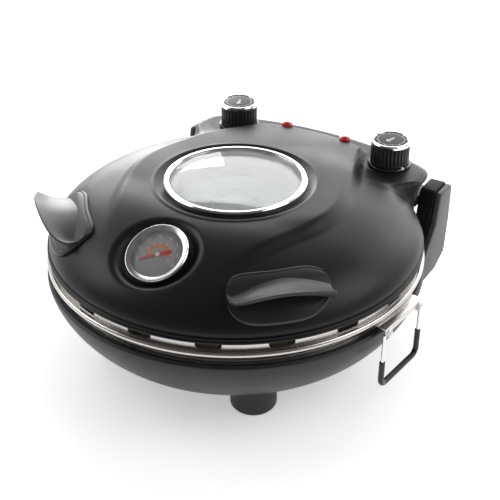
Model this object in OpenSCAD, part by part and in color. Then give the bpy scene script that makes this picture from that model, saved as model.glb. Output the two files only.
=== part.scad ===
// Countertop electric pizza maker: a domed lid on two side arms, a notched stone tray and a round base.
// Modules draw in the rim frame, whose origin is on the oven's axis, level with the tray's bright bead.
// The thermometer faces -Y and the arms hinge at +Y. on_floor() then stands everything on z = 0.

/* [Oven] */
// Radius of the tray's bright bead, between lid and bowl
bead_r = 176; // [170:1:180]
// Height of that bead above the worktop
bead_h = 98.5; // [96:0.5:112]
// Wall of the lid and of the bowl
wall = 2.4; // [2:0.2:3]
// Gap left between neighbouring pieces
gap = 0.3; // [0.2:0.05:0.4]
// Thickness of the bright inner sheets
sheet = 0.8; // [0.6:0.1:1]

/* [Bowl] */
// How far the bowl's lip lies below the bead
lip_drop = 13; // [12:0.5:14]
// Depth of the bowl below its lip
bowl_depth = 70; // [66:1:74]
// Radius of the bowl's flat bottom
bowl_floor_r = 110; // [100:1:114]
// How much wider than the bead the bowl's lip is
lip_out = 1; // [0:0.5:1.5]
// Depth of the bright pan inside the bowl
pan_depth = 34; // [28:1:40]

/* [Feet] */
// Radius of a foot
foot_r = 21; // [17:0.5:22]
// Feet's distance from the axis, sideways
foot_x = 74; // [68:0.5:80]
// Feet's distance from the axis, front and rear
foot_y = 88.5; // [80:0.5:98]
// Shank radius of a foot screw
foot_screw_r = 2; // [1.5:0.25:2.5]

/* [Tray] */
// Height of the notched band above the bead
band_h = 10; // [9:0.5:11]
// How far the bead stands out of the band
bead_out = 5; // [4:0.5:6]
// Number of notches round the band
notch_n = 18; // [12:1:20]
// Length of a notch
notch_w = 22; // [16:1:26]
// Depth of a notch
notch_d = 6.5; // [5:0.5:7]
// How far inside the bead's outer line the stone ends
stone_in = 21; // [19:1:31]
// Thickness of the stone
stone_t = 12; // [10:1:14]
// Angle at which the tray's handles rest
tray_turn = -6; // [-8:1:8]
// Length of a tray handle's bracket
bracket_w = 60; // [54:1:66]
// Radius of the bail wire
wire_r = 1.5; // [1.25:0.25:1.75]
// Width of a bail between its legs
bail_w = 60; // [54:1:64]
// Drop of a bail below its pivot
bail_drop = 54; // [46:1:60]
// Radius of a bail's grip sleeve
grip_r = 2.6; // [2.3:0.1:3]

/* [Lid] */
// Rise of the dome above the skirt's ridges
dome_h = 51; // [48:1:54]
// How far the skirt stays inside the bead
skirt_in = 1.5; // [1:0.5:2]
// Height of the raised shield over the dome beside it
shield_step = 4.5; // [3:0.5:6]
// Half width of the shield at the window
shield_r = 97; // [92:1:102]
// Reach of the console behind the bead
console_out = 6; // [4:1:10]
// Height of the knob shelves above the bead
shelf_z = 44.6; // [42:0.2:47]
// Rise of the liner pan's crown above its edge
liner_h = 27; // [24:1:29]

/* [Window] */
// Outer radius of the chrome ring
ring_r = 65.7; // [62:0.1:68]
// Radial width of the chrome ring
ring_w = 5.2; // [4:0.2:6]
// Height of the chrome ring
ring_h = 4.6; // [3.5:0.1:5.5]
// Crown of the outer glass
glass_crown = 4; // [2:0.5:5]
// Thickness of each glass
glass_t = 3; // [2.5:0.5:4]

/* [Thermometer] */
// Distance of its face from the axis
therm_y = 122.7; // [118:0.5:125]
// Lean of its face towards the front
therm_tilt = 29.6; // [26:0.2:32]
// Outer radius of the bezel
bezel_r = 28; // [26:0.5:29]

/* [Knobs and lamps] */
// Knobs' distance from the middle
knob_x = 87.4; // [84:0.2:90]
// Knobs' distance behind the axis
knob_y = 144; // [140:0.5:147]
// Radius of a knob
knob_r = 19.6; // [17:0.2:21]
// Height of a knob above its seat
knob_h = 23.7; // [19:0.1:25]
// Flutes round a knob
flute_n = 30; // [20:1:36]
// Radius of the knob shaft
shaft_r = 3; // [2.5:0.25:3.5]
// Lamps' distance from the middle
lamp_x = 33.6; // [28:0.2:40]
// Lamps' distance behind the axis
lamp_y = 152.7; // [148:0.1:156]
// Radius of a lamp lens
lamp_r = 6; // [5:0.25:7]

/* [Arms] */
// Inner face of the arms, from the middle
arm_in = 125; // [124:0.5:128]
// Thickness of an arm with its cover
arm_t = 22; // [18:1:24]
// Pivot's distance in front of the bead's rearmost point
pivot_in = 30; // [26:1:32]
// Pivot's depth below the bead
pivot_drop = 42; // [38:1:44]
// Radius of the hinge pins
pin_r = 4; // [3:0.25:5]

/* [Handles] */
// Direction of a handle's middle, from the side towards the front
handle_a = 44; // [40:1:48]
// Angle that a handle spans on the dome
handle_span = 34; // [30:1:36]
// Thickness of a handle's plate
handle_t = 3.5; // [3:0.25:4.5]
// Reach of the wing beyond the plate
wing = 38; // [30:1:42]

/* [Hidden] */
$fn = 64;

run_gap = 0.05; // radial clearance of every shaft in its bore
black = [0.06, 0.06, 0.065];
plastic = [0.1, 0.1, 0.11];
steel = [0.72, 0.72, 0.72];
chrome = [0.85, 0.85, 0.87];

band_r = bead_r - bead_out;
stone_r = bead_r - stone_in;
console_y = bead_r + console_out;
pivot_y = bead_r - pivot_in;
skirt_r = bead_r - skirt_in;
lip_r = bead_r + lip_out;
lid_z = band_h + gap; // lower edge of the lid
ridge_h = 5; // height of the skirt's two ridges
dome_r = skirt_r - 1.5;
dome_foot = lid_z + ridge_h - 1;
plate_z = dome_foot + dome_h + 2; // level of the shield round the window
console_rear_drop = 0.17; // fall of the console towards the rear, per millimetre

// Eases from 0 to 1 as t does
function ramp(t) = let (u = max(0, min(1, t))) u * u * (3 - 2 * u);
// Smooth versions of max and min, k is the width of the blend
function smax(a, b, k) = (a + b + sqrt((a - b) * (a - b) + k * k)) / 2;
function smin(a, b, k) = (a + b - sqrt((a - b) * (a - b) + k * k)) / 2;
function mix(a, b, t) = a + (b - a) * t;
function unit(v) = v / norm(v);
function side(v) = [v.y, -v.x];
// Direction across an open path at point i, to its right
function across(path, i) =
  let (n = len(path), before = path[max(i - 1, 0)], after = path[min(i + 1, n - 1)]) side(unit(after - before));
// Closed outline of a sheet of thickness t whose middle follows a path
function ribbon(path, t) = concat(
  [for (i = [0 : len(path) - 1]) path[i] + across(path, i) * t / 2],
  [for (i = [len(path) - 1 : -1 : 0]) path[i] - across(path, i) * t / 2]);
// Outline with its corners rounded by arcs of radius r
function rounded(pts, r, steps = 5) = [
  for (i = [0 : len(pts) - 1])
    let (n = len(pts), p = pts[i], u = unit(pts[(i + n - 1) % n] - p), v = unit(pts[(i + 1) % n] - p),
         half = acos(max(-1, min(1, u * v))) / 2, back = r / tan(half), c = p + unit(u + v) * r / sin(half),
         a = p + u * back - c, b = p + v * back - c, swing = 180 - 2 * half,
         turn = (a.x * b.y - a.y * b.x) > 0 ? 1 : -1)
      for (k = [0 : steps]) let (w = turn * swing * k / steps)
        c + [a.x * cos(w) - a.y * sin(w), a.x * sin(w) + a.y * cos(w)]];

// Stands the rim frame on the worktop, with the oven's depth centred on the origin
module on_floor() translate([0, -rear_mid_y, bead_h]) children();
module mirrored() mirror([1, 0, 0]) children();
// A bent heating rod: two rings open at the rear, joined there by a U-turn, with two legs of length leg
rod_r = 3.2;
rod_open_a = 18; // half the angle that is left open at the rear
rod_bend_r = 8; // bend from a ring's end into its leg
module bend(r, angle, tube_r) rotate_extrude(angle = angle) translate([r, 0]) circle(tube_r, $fn = 24);
module heating_rod(outer_r, inner_r, z, leg) {
  turn_r = (outer_r - inner_r) / 2;
  down = leg < 0;
  translate([0, 0, z]) {
    for (r = [outer_r, inner_r]) rotate([0, 0, 90 + rod_open_a]) bend(r, 360 - 2 * rod_open_a, rod_r);
    rotate([0, 0, 90 + rod_open_a]) translate([inner_r + turn_r, 0, 0]) rotate([0, 0, 180])
      bend(turn_r, 180, rod_r);
    for (r = [outer_r, inner_r]) rotate([0, 0, 90 - rod_open_a])
      translate([r, 0, down ? -rod_bend_r : rod_bend_r]) {
        rotate([0, down ? -90 : 90, 0]) bend(rod_bend_r, 90, rod_r);
        translate([0, rod_bend_r, down ? leg + rod_bend_r : 0])
          cylinder(r = rod_r, h = abs(leg) - rod_bend_r, $fn = 24);
      }
  }
}

// Bowl
lip_z = -lip_drop;
bowl_power = 1.55;
bowl_steps = 12;
bowl_bottom = lip_z - bowl_depth;
// Outer radius of the bowl at angle t of its curve, 0 at the lip and 90 at the bottom
function bowl_point(t, out) = [
  bowl_floor_r + (lip_r - bowl_floor_r + out) * pow(max(cos(t), 0), 2 / bowl_power),
  lip_z - (bowl_depth + out) * pow(max(sin(t), 0), 2 / bowl_power)];
function bowl_curve(out) = [for (i = [0 : bowl_steps]) bowl_point(90 * i / bowl_steps, out)];
// Everything that the bowl's outside encloses, grown by out
module bowl_envelope(out = 0) rotate_extrude($fn = 96)
  polygon(concat([[0, lip_z]], bowl_curve(out), [[0, bowl_bottom - out]]));
pan_r = band_r - 4; // outer radius of the pan's rim, on which the tray stands
pan_wall_r = pan_r - 8;
pan_z = lip_z - 2;

module base_bowl() color(black) on_floor() difference() {
  union() {
    rotate_extrude($fn = 96) polygon(concat(bowl_curve(0), [[0, bowl_bottom], [0, bowl_bottom + wall]],
      [for (i = [bowl_steps : -1 : 0]) bowl_point(90 * i / bowl_steps, -wall)]));
    // Rolled lip, and the inward shelf that carries the pan
    translate([0, 0, lip_z]) rotate_extrude($fn = 96) translate([lip_r - wall, 0]) circle(wall, $fn = 24);
    translate([0, 0, pan_z - sheet / 2 - gap - wall]) rotate_extrude($fn = 96)
      translate([pan_r - 5, 0]) square([lip_r - pan_r + 5 - wall / 2, wall]);
  }
  foot_places() translate([0, 0, bowl_bottom - 1]) cylinder(r = foot_screw_r + gap, h = bowl_depth, $fn = 24);
}
// Bright pan: a rim that rests on the bowl's shelf, a sloping wall and a flat bottom
pan_path = [[pan_r, pan_z], [pan_wall_r, pan_z], [pan_wall_r - 4, pan_z - 6],
            [pan_wall_r - 18, pan_z - pan_depth + 4], [pan_wall_r - 26, pan_z - pan_depth], [0, pan_z - pan_depth]];
module base_reflector() color(steel) on_floor() rotate_extrude($fn = 96)
  polygon(ribbon(pan_path, sheet));

// Lower heating rod on four clips
low_outer_r = 112;
low_inner_r = 66;
pan_floor = pan_z - pan_depth + sheet / 2;
rod_lift = 14; // rod's middle above the pan
low_z = pan_floor + rod_lift;
module lower_element() color([0.3, 0.29, 0.28]) on_floor()
  heating_rod(low_outer_r, low_inner_r, low_z, -(low_z - pan_floor) + gap);
// Clip that holds a rod at height z and stands on, or hangs from, the sheet at foot_z
module rod_clip(r, z, foot_z) {
  clip_w = 10;
  thick = 4;
  lap = rod_r + 2.3;
  hangs = foot_z > z;
  top = hangs ? foot_z : z + lap;
  bottom = hangs ? z - lap : foot_z;
  difference() {
    translate([r - clip_w / 2, -thick / 2, bottom]) cube([clip_w, thick, top - bottom]);
    translate([0, 0, z]) rotate_extrude() translate([r, 0]) circle(rod_r + gap, $fn = 24);
  }
}
module lower_clips() color(steel) on_floor() for (a = [30, 150, 270]) rotate([0, 0, a]) {
  rod_clip(low_outer_r, low_z, pan_floor + gap);
  rod_clip(low_inner_r, low_z, pan_floor + gap);
}

// Four feet with a screw each
module foot_places() for (sx = [-1, 1]) for (sy = [-1, 1]) translate([sx * foot_x, sy * foot_y, 0]) children();
foot_head_h = 3;
foot_head_r = foot_screw_r * 2.2;
module feet() color([0.05, 0.05, 0.05]) on_floor() difference() {
  foot_places() translate([0, 0, -bead_h]) {
    cylinder(r1 = foot_r - 2, r2 = foot_r, h = 3);
    translate([0, 0, 3]) cylinder(r = foot_r, h = bead_h + bowl_bottom + 24);
  }
  bowl_envelope(gap);
  translate([0, 0, lip_z - bowl_depth / 2]) cylinder(r = lip_r, h = bowl_depth);
  foot_places() translate([0, 0, -bead_h]) {
    translate([0, 0, -1]) cylinder(r = foot_head_r + gap, h = foot_head_h + 3, $fn = 32);
    cylinder(r = foot_screw_r + gap, h = bead_h, $fn = 24);
  }
}
foot_span = norm([foot_x, foot_y]) - bowl_floor_r; // how far out a foot's middle is on the bowl's curve
foot_top = lip_z - bowl_depth * pow(1 - pow(max(foot_span, 0) / (lip_r - bowl_floor_r), bowl_power), 1 / bowl_power);
module foot_screws() color(steel) on_floor() foot_places() {
  translate([0, 0, -bead_h + 2]) cylinder(r = foot_head_r, h = foot_head_h - gap, $fn = 32);
  translate([0, 0, -bead_h + 2]) cylinder(r = foot_screw_r, h = bead_h + foot_top + 6, $fn = 24);
}

// Hinge lugs on the bowl and their pins
pivot_z = -pivot_drop;
lug_t = 12;
lug_r = 12;
lug_out = arm_in - gap;
module hinge_lug_right() color(black) on_floor() difference() {
  translate([lug_out - lug_t, 0, 0]) rotate([90, 0, 90]) linear_extrude(lug_t) {
    translate([pivot_y, pivot_z]) circle(lug_r);
    polygon([[pivot_y, pivot_z - lug_r], [pivot_y, pivot_z + lug_r], [pivot_y - 50, pivot_z + lug_r + 8],
             [pivot_y - 50, pivot_z - lug_r - 8]]);
  }
  bowl_envelope(gap);
  translate([0, 0, pivot_z]) cylinder(r = bowl_floor_r, h = bowl_depth, center = true);
  translate([0, pivot_y, pivot_z]) rotate([0, 90, 0]) cylinder(r = pin_r + run_gap, h = 2 * bead_r);
}
module hinge_lug_left() mirrored() hinge_lug_right();
pin_head_t = 2.5;
cover_t = 6; // thickness of the arm's outer cover
cover_in = arm_in + arm_t - cover_t; // inner face of the cover
module hinge_pins() color(steel) on_floor() for (s = [0, 1]) mirror([s, 0, 0]) translate([0, pivot_y, pivot_z])
  rotate([0, 90, 0]) {
    translate([0, 0, lug_out - lug_t - 1]) cylinder(r = pin_r, h = cover_in - gap - lug_out + lug_t + 1);
    translate([0, 0, lug_out - lug_t - 1 - pin_head_t]) cylinder(r = pin_r + 3, h = pin_head_t + 1 - gap);
  }

// Stone tray: a notched band, a rolled bead, a wall that stands on the pan's rim and a ledge for the stone
bead_tube_r = 2.6; // radius of the rolled bead
tray_foot_z = pan_z + sheet / 2 + gap + sheet / 2;
ledge_in = stone_r - 8;
stone_z = tray_foot_z + sheet / 2 + gap;
module tray_turned() rotate([0, 0, tray_turn]) children();
notch_corner = 2.5;
notch_start = -5; // direction of the first notch while the tray rests at tray_turn
module stone_tray() color(steel) on_floor() tray_turned() difference() {
  union() {
    rotate_extrude($fn = 144) polygon(ribbon(
      [[ledge_in, tray_foot_z], [pan_r - 4, tray_foot_z], [pan_r - 2, tray_foot_z + 2],
       [pan_r - 2, -5], [band_r - sheet / 2, -1.5], [band_r - sheet / 2, band_h]], sheet));
    rotate_extrude($fn = 144) difference() {
      translate([bead_r - bead_tube_r, 0]) circle(bead_tube_r, $fn = 32);
      translate([bead_r - bead_tube_r, 0]) circle(bead_tube_r - sheet, $fn = 32);
    }
    rotate_extrude($fn = 144) translate([band_r - sheet, bead_tube_r - 1.5 * sheet])
      square([bead_r - bead_tube_r - band_r + sheet, sheet]);
  }
  for (i = [0 : notch_n - 1]) rotate([0, 0, notch_start - tray_turn + i * 360 / notch_n])
    translate([band_r - 4, 0, band_h - notch_d]) rotate([90, 0, 90]) linear_extrude(8) {
      translate([-notch_w / 2, notch_corner]) square([notch_w, notch_d]);
      translate([-notch_w / 2 + notch_corner, 0]) square([notch_w - 2 * notch_corner, notch_d]);
      for (s = [-1, 1]) translate([s * (notch_w / 2 - notch_corner), notch_corner]) circle(notch_corner, $fn = 16);
    }
}
module pizza_stone() color([0.82, 0.78, 0.7]) on_floor() translate([0, 0, stone_z])
  rotate_extrude($fn = 96) polygon([[0, 0], [stone_r - 2, 0], [stone_r, 2], [stone_r, stone_t - 2],
                                    [stone_r - 2, stone_t], [0, stone_t]]);

// Sheet brackets under the bead, each with two ears for its bail
bail_r = bead_r + 6; // distance of the bail's pivot from the axis
bracket_t = 1.6;
flange_z = -bead_tube_r - gap - bracket_t; // underside of the bracket's flange
apron_z = flange_z - 3.5; // lower edge of the apron in front of the flange
bail_z = apron_z - 0.5;
ear_t = 5;
ear_mid = bail_w / 2 - wire_r - 1 - ear_t / 2;
module tray_bracket() on_floor() tray_turned() difference() {
  union() {
    // Flange below the bead, and the apron in front of it
    translate([bead_r - 6, -bracket_w / 2, flange_z]) cube([bail_r - bead_r + 6, bracket_w, bracket_t]);
    translate([bail_r - 1, -bracket_w / 2, apron_z]) cube([bracket_t, bracket_w, flange_z + bracket_t - apron_z]);
    for (s = [-1, 1]) translate([bail_r, s * ear_mid, bail_z]) rotate([90, 0, 0])
      cylinder(r = wire_r + 2.4, h = ear_t, center = true, $fn = 32);
  }
  translate([0, 0, -10]) cylinder(r = bead_r - 5, h = 20, $fn = 96);
  translate([bail_r, bracket_w / 2 + 1, bail_z]) rotate([90, 0, 0])
    cylinder(r = wire_r + run_gap, h = bracket_w + 2, $fn = 32);
  // Room for the legs at the end of their swing
  for (s = [-1, 1]) translate([bail_r, s * bail_w / 2, bail_z]) rotate([90, 0, 0])
    cylinder(r = wire_r + 2 * gap, h = 2 * (wire_r + gap), center = true, $fn = 32);
  for (s = [-1, 1]) translate([bead_r, s * rivet_y, apron_z]) cylinder(r = rivet_r + gap / 2, h = 8, $fn = 24);
}
rivet_y = 12;
rivet_r = 1.6;
rivet_head_h = 1.4;
module tray_bracket_right() color(steel) tray_bracket();
module opposite() on_floor() rotate([0, 0, 180]) translate([0, rear_mid_y, -bead_h]) children();
module tray_bracket_left() color(steel) opposite() tray_bracket();
module tray_rivets() color(chrome) for (a = [0, 180]) on_floor() rotate([0, 0, a]) tray_turned()
  for (s = [-1, 1]) translate([bead_r, s * rivet_y, flange_z]) {
    translate([0, 0, -rivet_head_h]) cylinder(r = rivet_r * 1.8, h = rivet_head_h - gap / 2, $fn = 24);
    translate([0, 0, -rivet_head_h / 2]) cylinder(r = rivet_r, h = rivet_head_h / 2 + bracket_t - gap / 2, $fn = 24);
  }
// Wire of a bail: two ends in the ears, two legs and a cross piece, with round corners
module wire_run(length) cylinder(r = wire_r, h = length, $fn = 24);
bail_bend = 7;
module bail_corner(s) translate([0, s * (bail_w / 2 - bail_bend), -bail_drop + bail_bend])
  rotate([0, 90, 0]) rotate([0, 0, s > 0 ? 0 : -90]) rotate_extrude(angle = 90) translate([bail_bend, 0]) children();
module bail() on_floor() tray_turned() translate([bail_r, 0, bail_z]) {
  for (s = [-1, 1]) {
    translate([0, s * bail_w / 2, 0]) rotate([90 * s, 0, 0]) wire_run(wire_r + 1 + ear_t);
    translate([0, s * bail_w / 2, 0]) sphere(wire_r, $fn = 24);
    translate([0, s * bail_w / 2, -bail_drop + bail_bend]) wire_run(bail_drop - bail_bend);
    bail_corner(s) circle(wire_r, $fn = 24);
  }
  translate([0, bail_w / 2 - bail_bend, -bail_drop]) rotate([90, 0, 0]) wire_run(bail_w - 2 * bail_bend);
}
module bail_right() color(chrome) bail();
module bail_left() color(chrome) opposite() bail();
// Grip sleeve: tubes over the lower legs and the cross piece, and two tube bends
grip_top = 26; // how far the sleeve climbs each leg
module sleeve(length) difference() {
  cylinder(r = grip_r, h = length, $fn = 24);
  translate([0, 0, -1]) cylinder(r = wire_r + run_gap, h = length + 2, $fn = 24);
}
module bail_grip() on_floor() tray_turned() translate([bail_r, 0, bail_z]) {
  for (s = [-1, 1]) {
    translate([0, s * bail_w / 2, -bail_drop + bail_bend]) sleeve(grip_top - bail_bend);
    bail_corner(s) difference() {
      circle(grip_r, $fn = 24);
      circle(wire_r + run_gap, $fn = 24);
    }
  }
  translate([0, bail_w / 2 - bail_bend, -bail_drop]) rotate([90, 0, 0]) sleeve(bail_w - 2 * bail_bend);
}
module bail_grip_right() color(plastic) bail_grip();
module bail_grip_left() color(plastic) opposite() bail_grip();

// Lid surface. dome_z is the round dome; shelves for the knobs and the shield with the console rise over it
dome_bulge = 3.2;
dome_ease = 0.576;
function dome_z(r) = dome_foot + dome_h * pow(max(0, 1 - pow(r / dome_r, dome_bulge)), dome_ease);
// Plan outline of the rear: a shallow arc across the back, and straight sides over the arms
rear_arc_r = 350;
console_side = arm_in + 6;
function rear_arc(a) =
  let (c = rear_arc_r - console_y, s = c * sin(a)) -s + sqrt(s * s + rear_arc_r * rear_arc_r - c * c);
function rear_reach(a) =
  sin(a) <= 0.35 ? 0 : smin(rear_arc(a), console_side / max(abs(cos(a)), 0.05), 14);
function top_reach(a) = smax(dome_r - 1, rear_reach(a), 3);
function shelf_part(a) = ramp((top_reach(a) - dome_r) / 8);
// Distance outside a shape that tapers from a circle of radius r1 to one of radius r2, h along the path
function taper_gap(x, along, r1, r2, h) =
  let (b = (r1 - r2) / h, a = sqrt(1 - b * b), k = -b * abs(x) + a * along)
    k < 0 ? norm([x, along]) - r1 : k > a * h ? norm([x, along - h]) - r2 : a * abs(x) + b * along - r1;
seat_r = knob_r + 1.6; // radius of a knob's seat, under which the shelf is flat
shield_front_r = 48;
shield_front_y = 125;
shield_rear_r = 50;
shield_rear_y = 150;
function shield_gap(x, y) = y < 0 ? taper_gap(x, -y, shield_r, shield_front_r, shield_front_y)
                                  : taper_gap(x, y, shield_r, shield_rear_r, shield_rear_y);
function shield_top(x, y) =
  let (lift = shield_step * ramp((y + 140) / 75) + 10 * ramp((y + 50) / 80),
       front = dome_z(norm([x, y])) + lift, rear = plate_z - console_rear_drop * (y - 72))
    smin(smin(plate_z, front, 2), rear, 2);
function top_z(r, a) =
  let (x = r * cos(a), y = r * sin(a), dome = dome_z(min(r, dome_r - 1)),
       base = dome + shelf_part(a) * (smax(dome, shelf_z, 4) - dome),
       soft = 14 - 6 * ramp((y - 60) / 60), w = 1 - ramp(shield_gap(x, y) / soft),
       flat = 1 - ramp((norm([abs(x) - knob_x, y - knob_y]) - seat_r - 7) / 4))
    mix(base + w * max(0, shield_top(x, y) - base), shelf_z, flat);
// Outer line of the lid at angle a, from the skirt's edge up and in to the window
recess_out = ring_r + 11;
recess_z = plate_z - 3;
hole_r = ring_r - ring_w - gap;
top_shares = [0.955, 0.9, 0.83, 0.74, 0.61, 0.53, 0.42, 0.31, 0.2, 0.1, 0];
function lid_line(a) =
  let (part = shelf_part(a), reach = top_reach(a), edge = reach - 7 * part, ez = top_z(edge, a),
       under = min(reach - 2, (arm_in - 1) / max(abs(cos(a)), 0.05)), foot = dome_r - 0.4)
    concat(
      [[skirt_r, lid_z], [skirt_r, lid_z + 2.2], [skirt_r - 1.8, lid_z + 3.2], [foot, lid_z + ridge_h]],
      [[mix(foot, skirt_r - 0.5, part), mix(lid_z + ridge_h + 1, lid_z + 15, part)],
       [mix(foot - 0.2, under, part), mix(lid_z + ridge_h + 2, ez - 11.5, part)],
       [mix(foot - 0.4, reach, part), mix(lid_z + ridge_h + 3, ez - 6, part)],
       [mix(foot - 0.6, reach - 2, part), mix(top_z(foot - 0.6, a), ez - 1.8, part)]],
      [for (f = concat([1], top_shares)) let (r = mix(recess_out, edge, f) - (f == 1 ? 1 : 0)) [r, top_z(r, a)]],
      [[recess_out - 3, plate_z - 0.8], [recess_out - 6.5, recess_z], [hole_r - 3, recess_z]]);
// Inner line: the outer one moved in by the wall, with the fine rows left out
function lid_inner(line) = let (n = len(line)) concat(
  [for (i = [n - 1, n - 2, n - 4, n - 7, n - 9, n - 11, n - 13, n - 15, n - 17, 5, 4])
    i == n - 1 ? line[i] - [0, wall] : line[i] - wall * side(unit(line[i + 1] - line[i - 1]))],
  [[skirt_r - wall, lid_z + 2.2], [skirt_r - wall, lid_z]]);
// Middle of the oven's depth, which stands over the origin
rear_mid_y = (max([for (p = lid_line(90)) p.x]) - lip_r) / 2;
half_turns = concat([for (a = [-90 : 7.5 : 30]) a], [for (a = [34 : 4 : 62]) a], [67.5, 75, 82.5, 90]);
lid_turns = concat(half_turns, [for (i = [len(half_turns) - 2 : -1 : 1]) 180 - half_turns[i]]);
// A closed skin over rings of points that all have the same count
module skin(rings, closed = true) {
  m = len(rings[0]);
  n = len(rings);
  last = closed ? n - 1 : n - 2;
  polyhedron(points = [for (ring = rings) for (p = ring) p],
    faces = concat(
      [for (i = [0 : last]) for (j = [0 : m - 1])
        let (k = (i + 1) % n, l = (j + 1) % m) each [[i * m + j, i * m + l, k * m + l], [i * m + j, k * m + l, k * m + j]]],
      closed ? [] : [[for (j = [m - 1 : -1 : 0]) j], [for (j = [0 : m - 1]) (n - 1) * m + j]]));
}
module lid_skin() skin([for (a = lid_turns) let (line = lid_line(a))
  [for (p = concat(line, lid_inner(line))) [p.x * cos(a), p.x * sin(a), p.y]]]);

// Dish round the thermometer, in its own tilted place
dish_tilt = therm_tilt - 8;
dish_y = therm_y - 1.5;
dish_z = top_z(therm_y, -90) - 4;
dish_floor = 6;
dish_r = bezel_r + 2;
module at_dish() translate([0, -dish_y, dish_z]) rotate([dish_tilt, 0, 0]) children();
therm_z = top_z(therm_y, -90) - 1.6;
module at_thermometer() translate([0, -therm_y, therm_z]) rotate([therm_tilt, 0, 0]) children();
can_r = bezel_r - 2.5;
lamp_tilt = atan(console_rear_drop);
module at_lamp(s) translate([s * lamp_x, lamp_y, top_z(norm([lamp_x, lamp_y]), atan2(lamp_y, lamp_x))])
  rotate([-lamp_tilt, 0, 0]) children();
bush_r = shaft_r + 2.6;
gland_a = 105;
gland_z = lid_z + 9.5;
gland_r = 4.6;
module lid_shell() color(black) on_floor() difference() {
  union() {
    lid_skin();
    at_dish() rotate_extrude() polygon([[0, -dish_floor - wall], [dish_r + 1, -dish_floor - wall],
      [dish_r + 4.4 + wall, -1.6], [dish_r + 4.4 - wall / 2, -1.6], [dish_r, -dish_floor], [0, -dish_floor]]);
  }
  at_dish() rotate_extrude() polygon([[0, -dish_floor], [dish_r, -dish_floor], [dish_r + 14, 8], [0, 8]]);
  at_thermometer() translate([0, 0, -30]) cylinder(r = can_r + gap, h = 30);
  translate([0, 0, recess_z - 10]) cylinder(r = hole_r, h = 20, $fn = 96);
  for (s = [-1, 1]) {
    translate([s * knob_x, knob_y, shelf_z - 8]) cylinder(r = bush_r + gap, h = 16, $fn = 32);
    at_lamp(s) translate([0, 0, -10]) cylinder(r = lamp_r - 1.5 + gap, h = 20, $fn = 32);
    handle_screw_places(s) translate([0, 0, -8]) cylinder(r = 2 + gap, h = 12, $fn = 24);
  }
  rotate([0, 0, gland_a]) translate([skirt_r - 12, 0, gland_z]) rotate([0, 90, 0]) rotate([0, 0, 40])
    cylinder(r = gland_r + gap, h = 30, $fn = 32);
}

// Bright liner pan that closes the lid from below
liner_r = dome_r - 9;
liner_z = lid_z + gap + sheet / 2;
liner_lift = 3.5; // its edge lies this far up in the skirt, clear of the band while the lid swings back
liner_edge_in = 4.7; // distance of its edge from the skirt's outside
function liner_at(r) = liner_z + max(liner_lift, liner_h * sqrt(max(0, 1 - pow(r / liner_r, 3))));
well_r = hole_r - gap;
liner_hole_r = well_r + gap;
stem_r = 3.5;
module lid_liner() color(steel) on_floor() difference() {
  rotate_extrude($fn = 96) polygon(ribbon(concat([[skirt_r - liner_edge_in, liner_at(skirt_r)]],
    [for (i = [0 : 12]) let (r = liner_r - (liner_r - liner_hole_r) * pow(i / 12, 1.8)) [r, liner_at(r)]]), sheet));
  at_thermometer() translate([0, 0, -60]) cylinder(r = stem_r + 1.5, h = 60, $fn = 32);
  for (r = [up_outer_r, up_inner_r]) rotate([0, 0, 90 - rod_open_a]) translate([r, rod_bend_r, 0])
    cylinder(r = rod_r + 1, h = 60, $fn = 32);
}
up_outer_r = 134;
up_inner_r = 98;
up_drop = 7; // rod's middle below the liner
up_leg = 16; // rise of the rod's legs through the liner
up_z = liner_at(up_outer_r) - up_drop;
module upper_element() color([0.3, 0.29, 0.28]) on_floor() heating_rod(up_outer_r, up_inner_r, up_z, up_leg);
module upper_clips() color(steel) on_floor() for (a = [30, 150, 250]) rotate([0, 0, a]) {
  rod_clip(up_outer_r, up_z, liner_at(up_outer_r + 5) - sheet / 2 - 2 * gap);
  rod_clip(up_inner_r, up_z, liner_at(up_inner_r + 5) - sheet / 2 - 2 * gap);
}

// Window: chrome ring, domed glass, well sleeve down to the liner, inner glass
ring_z = recess_z + gap;
module window_ring() color(chrome) on_floor() translate([0, 0, ring_z]) rotate_extrude($fn = 96)
  polygon(rounded([[ring_r - ring_w, 0], [ring_r, 0], [ring_r, ring_h], [ring_r - ring_w, ring_h]], 1.4));
glass_r = ring_r - ring_w - gap;
module window_glass() color([0.8, 0.85, 0.85, 0.4]) on_floor() translate([0, 0, ring_z]) rotate_extrude($fn = 96) {
  rise = glass_crown;
  polygon(concat([for (i = [0 : 10]) let (r = glass_r * i / 10) [r, glass_t + rise * (1 - pow(r / glass_r, 2))]],
    [for (i = [10 : -1 : 0]) let (r = glass_r * i / 10) [r, rise * (1 - pow(r / glass_r, 2))]]));
}
well_top = ring_z - gap;
well_bottom = liner_at(liner_hole_r) - sheet / 2 - gap;
inner_glass_r = well_r - 1.6 - gap;
module window_well() color(steel) on_floor() rotate_extrude($fn = 96) {
  polygon([[well_r - 1.6, well_bottom], [well_r - 1.6, well_top], [well_r, well_top], [well_r, well_bottom - 2],
           [well_r - 6, well_bottom - 2], [well_r - 6, well_bottom]]);
  translate([well_r - 0.5, well_bottom - 2]) square([8, 2 - gap]);
}
module inner_glass() color([0.8, 0.85, 0.85, 0.4]) on_floor() translate([0, 0, well_bottom + gap])
  cylinder(r = inner_glass_r, h = glass_t, $fn = 96);

// Wing handles: a plate that follows the dome and a wing that grows out of it towards the rear
plate_top_r = dome_r - 40;
plate_low_r = dome_r - 5;
crease_r = dome_r - 26;
wing_lift = 5; // rise of the wing's tip over the crease at the rear
handle_steps = 16;
function dome_side(r) = side(unit([-1, dome_z(r - 0.5) - dome_z(r + 0.5)])); // points outwards
function on_dome(r, out) = [r, dome_z(r)] + dome_side(r) * out;
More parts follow.
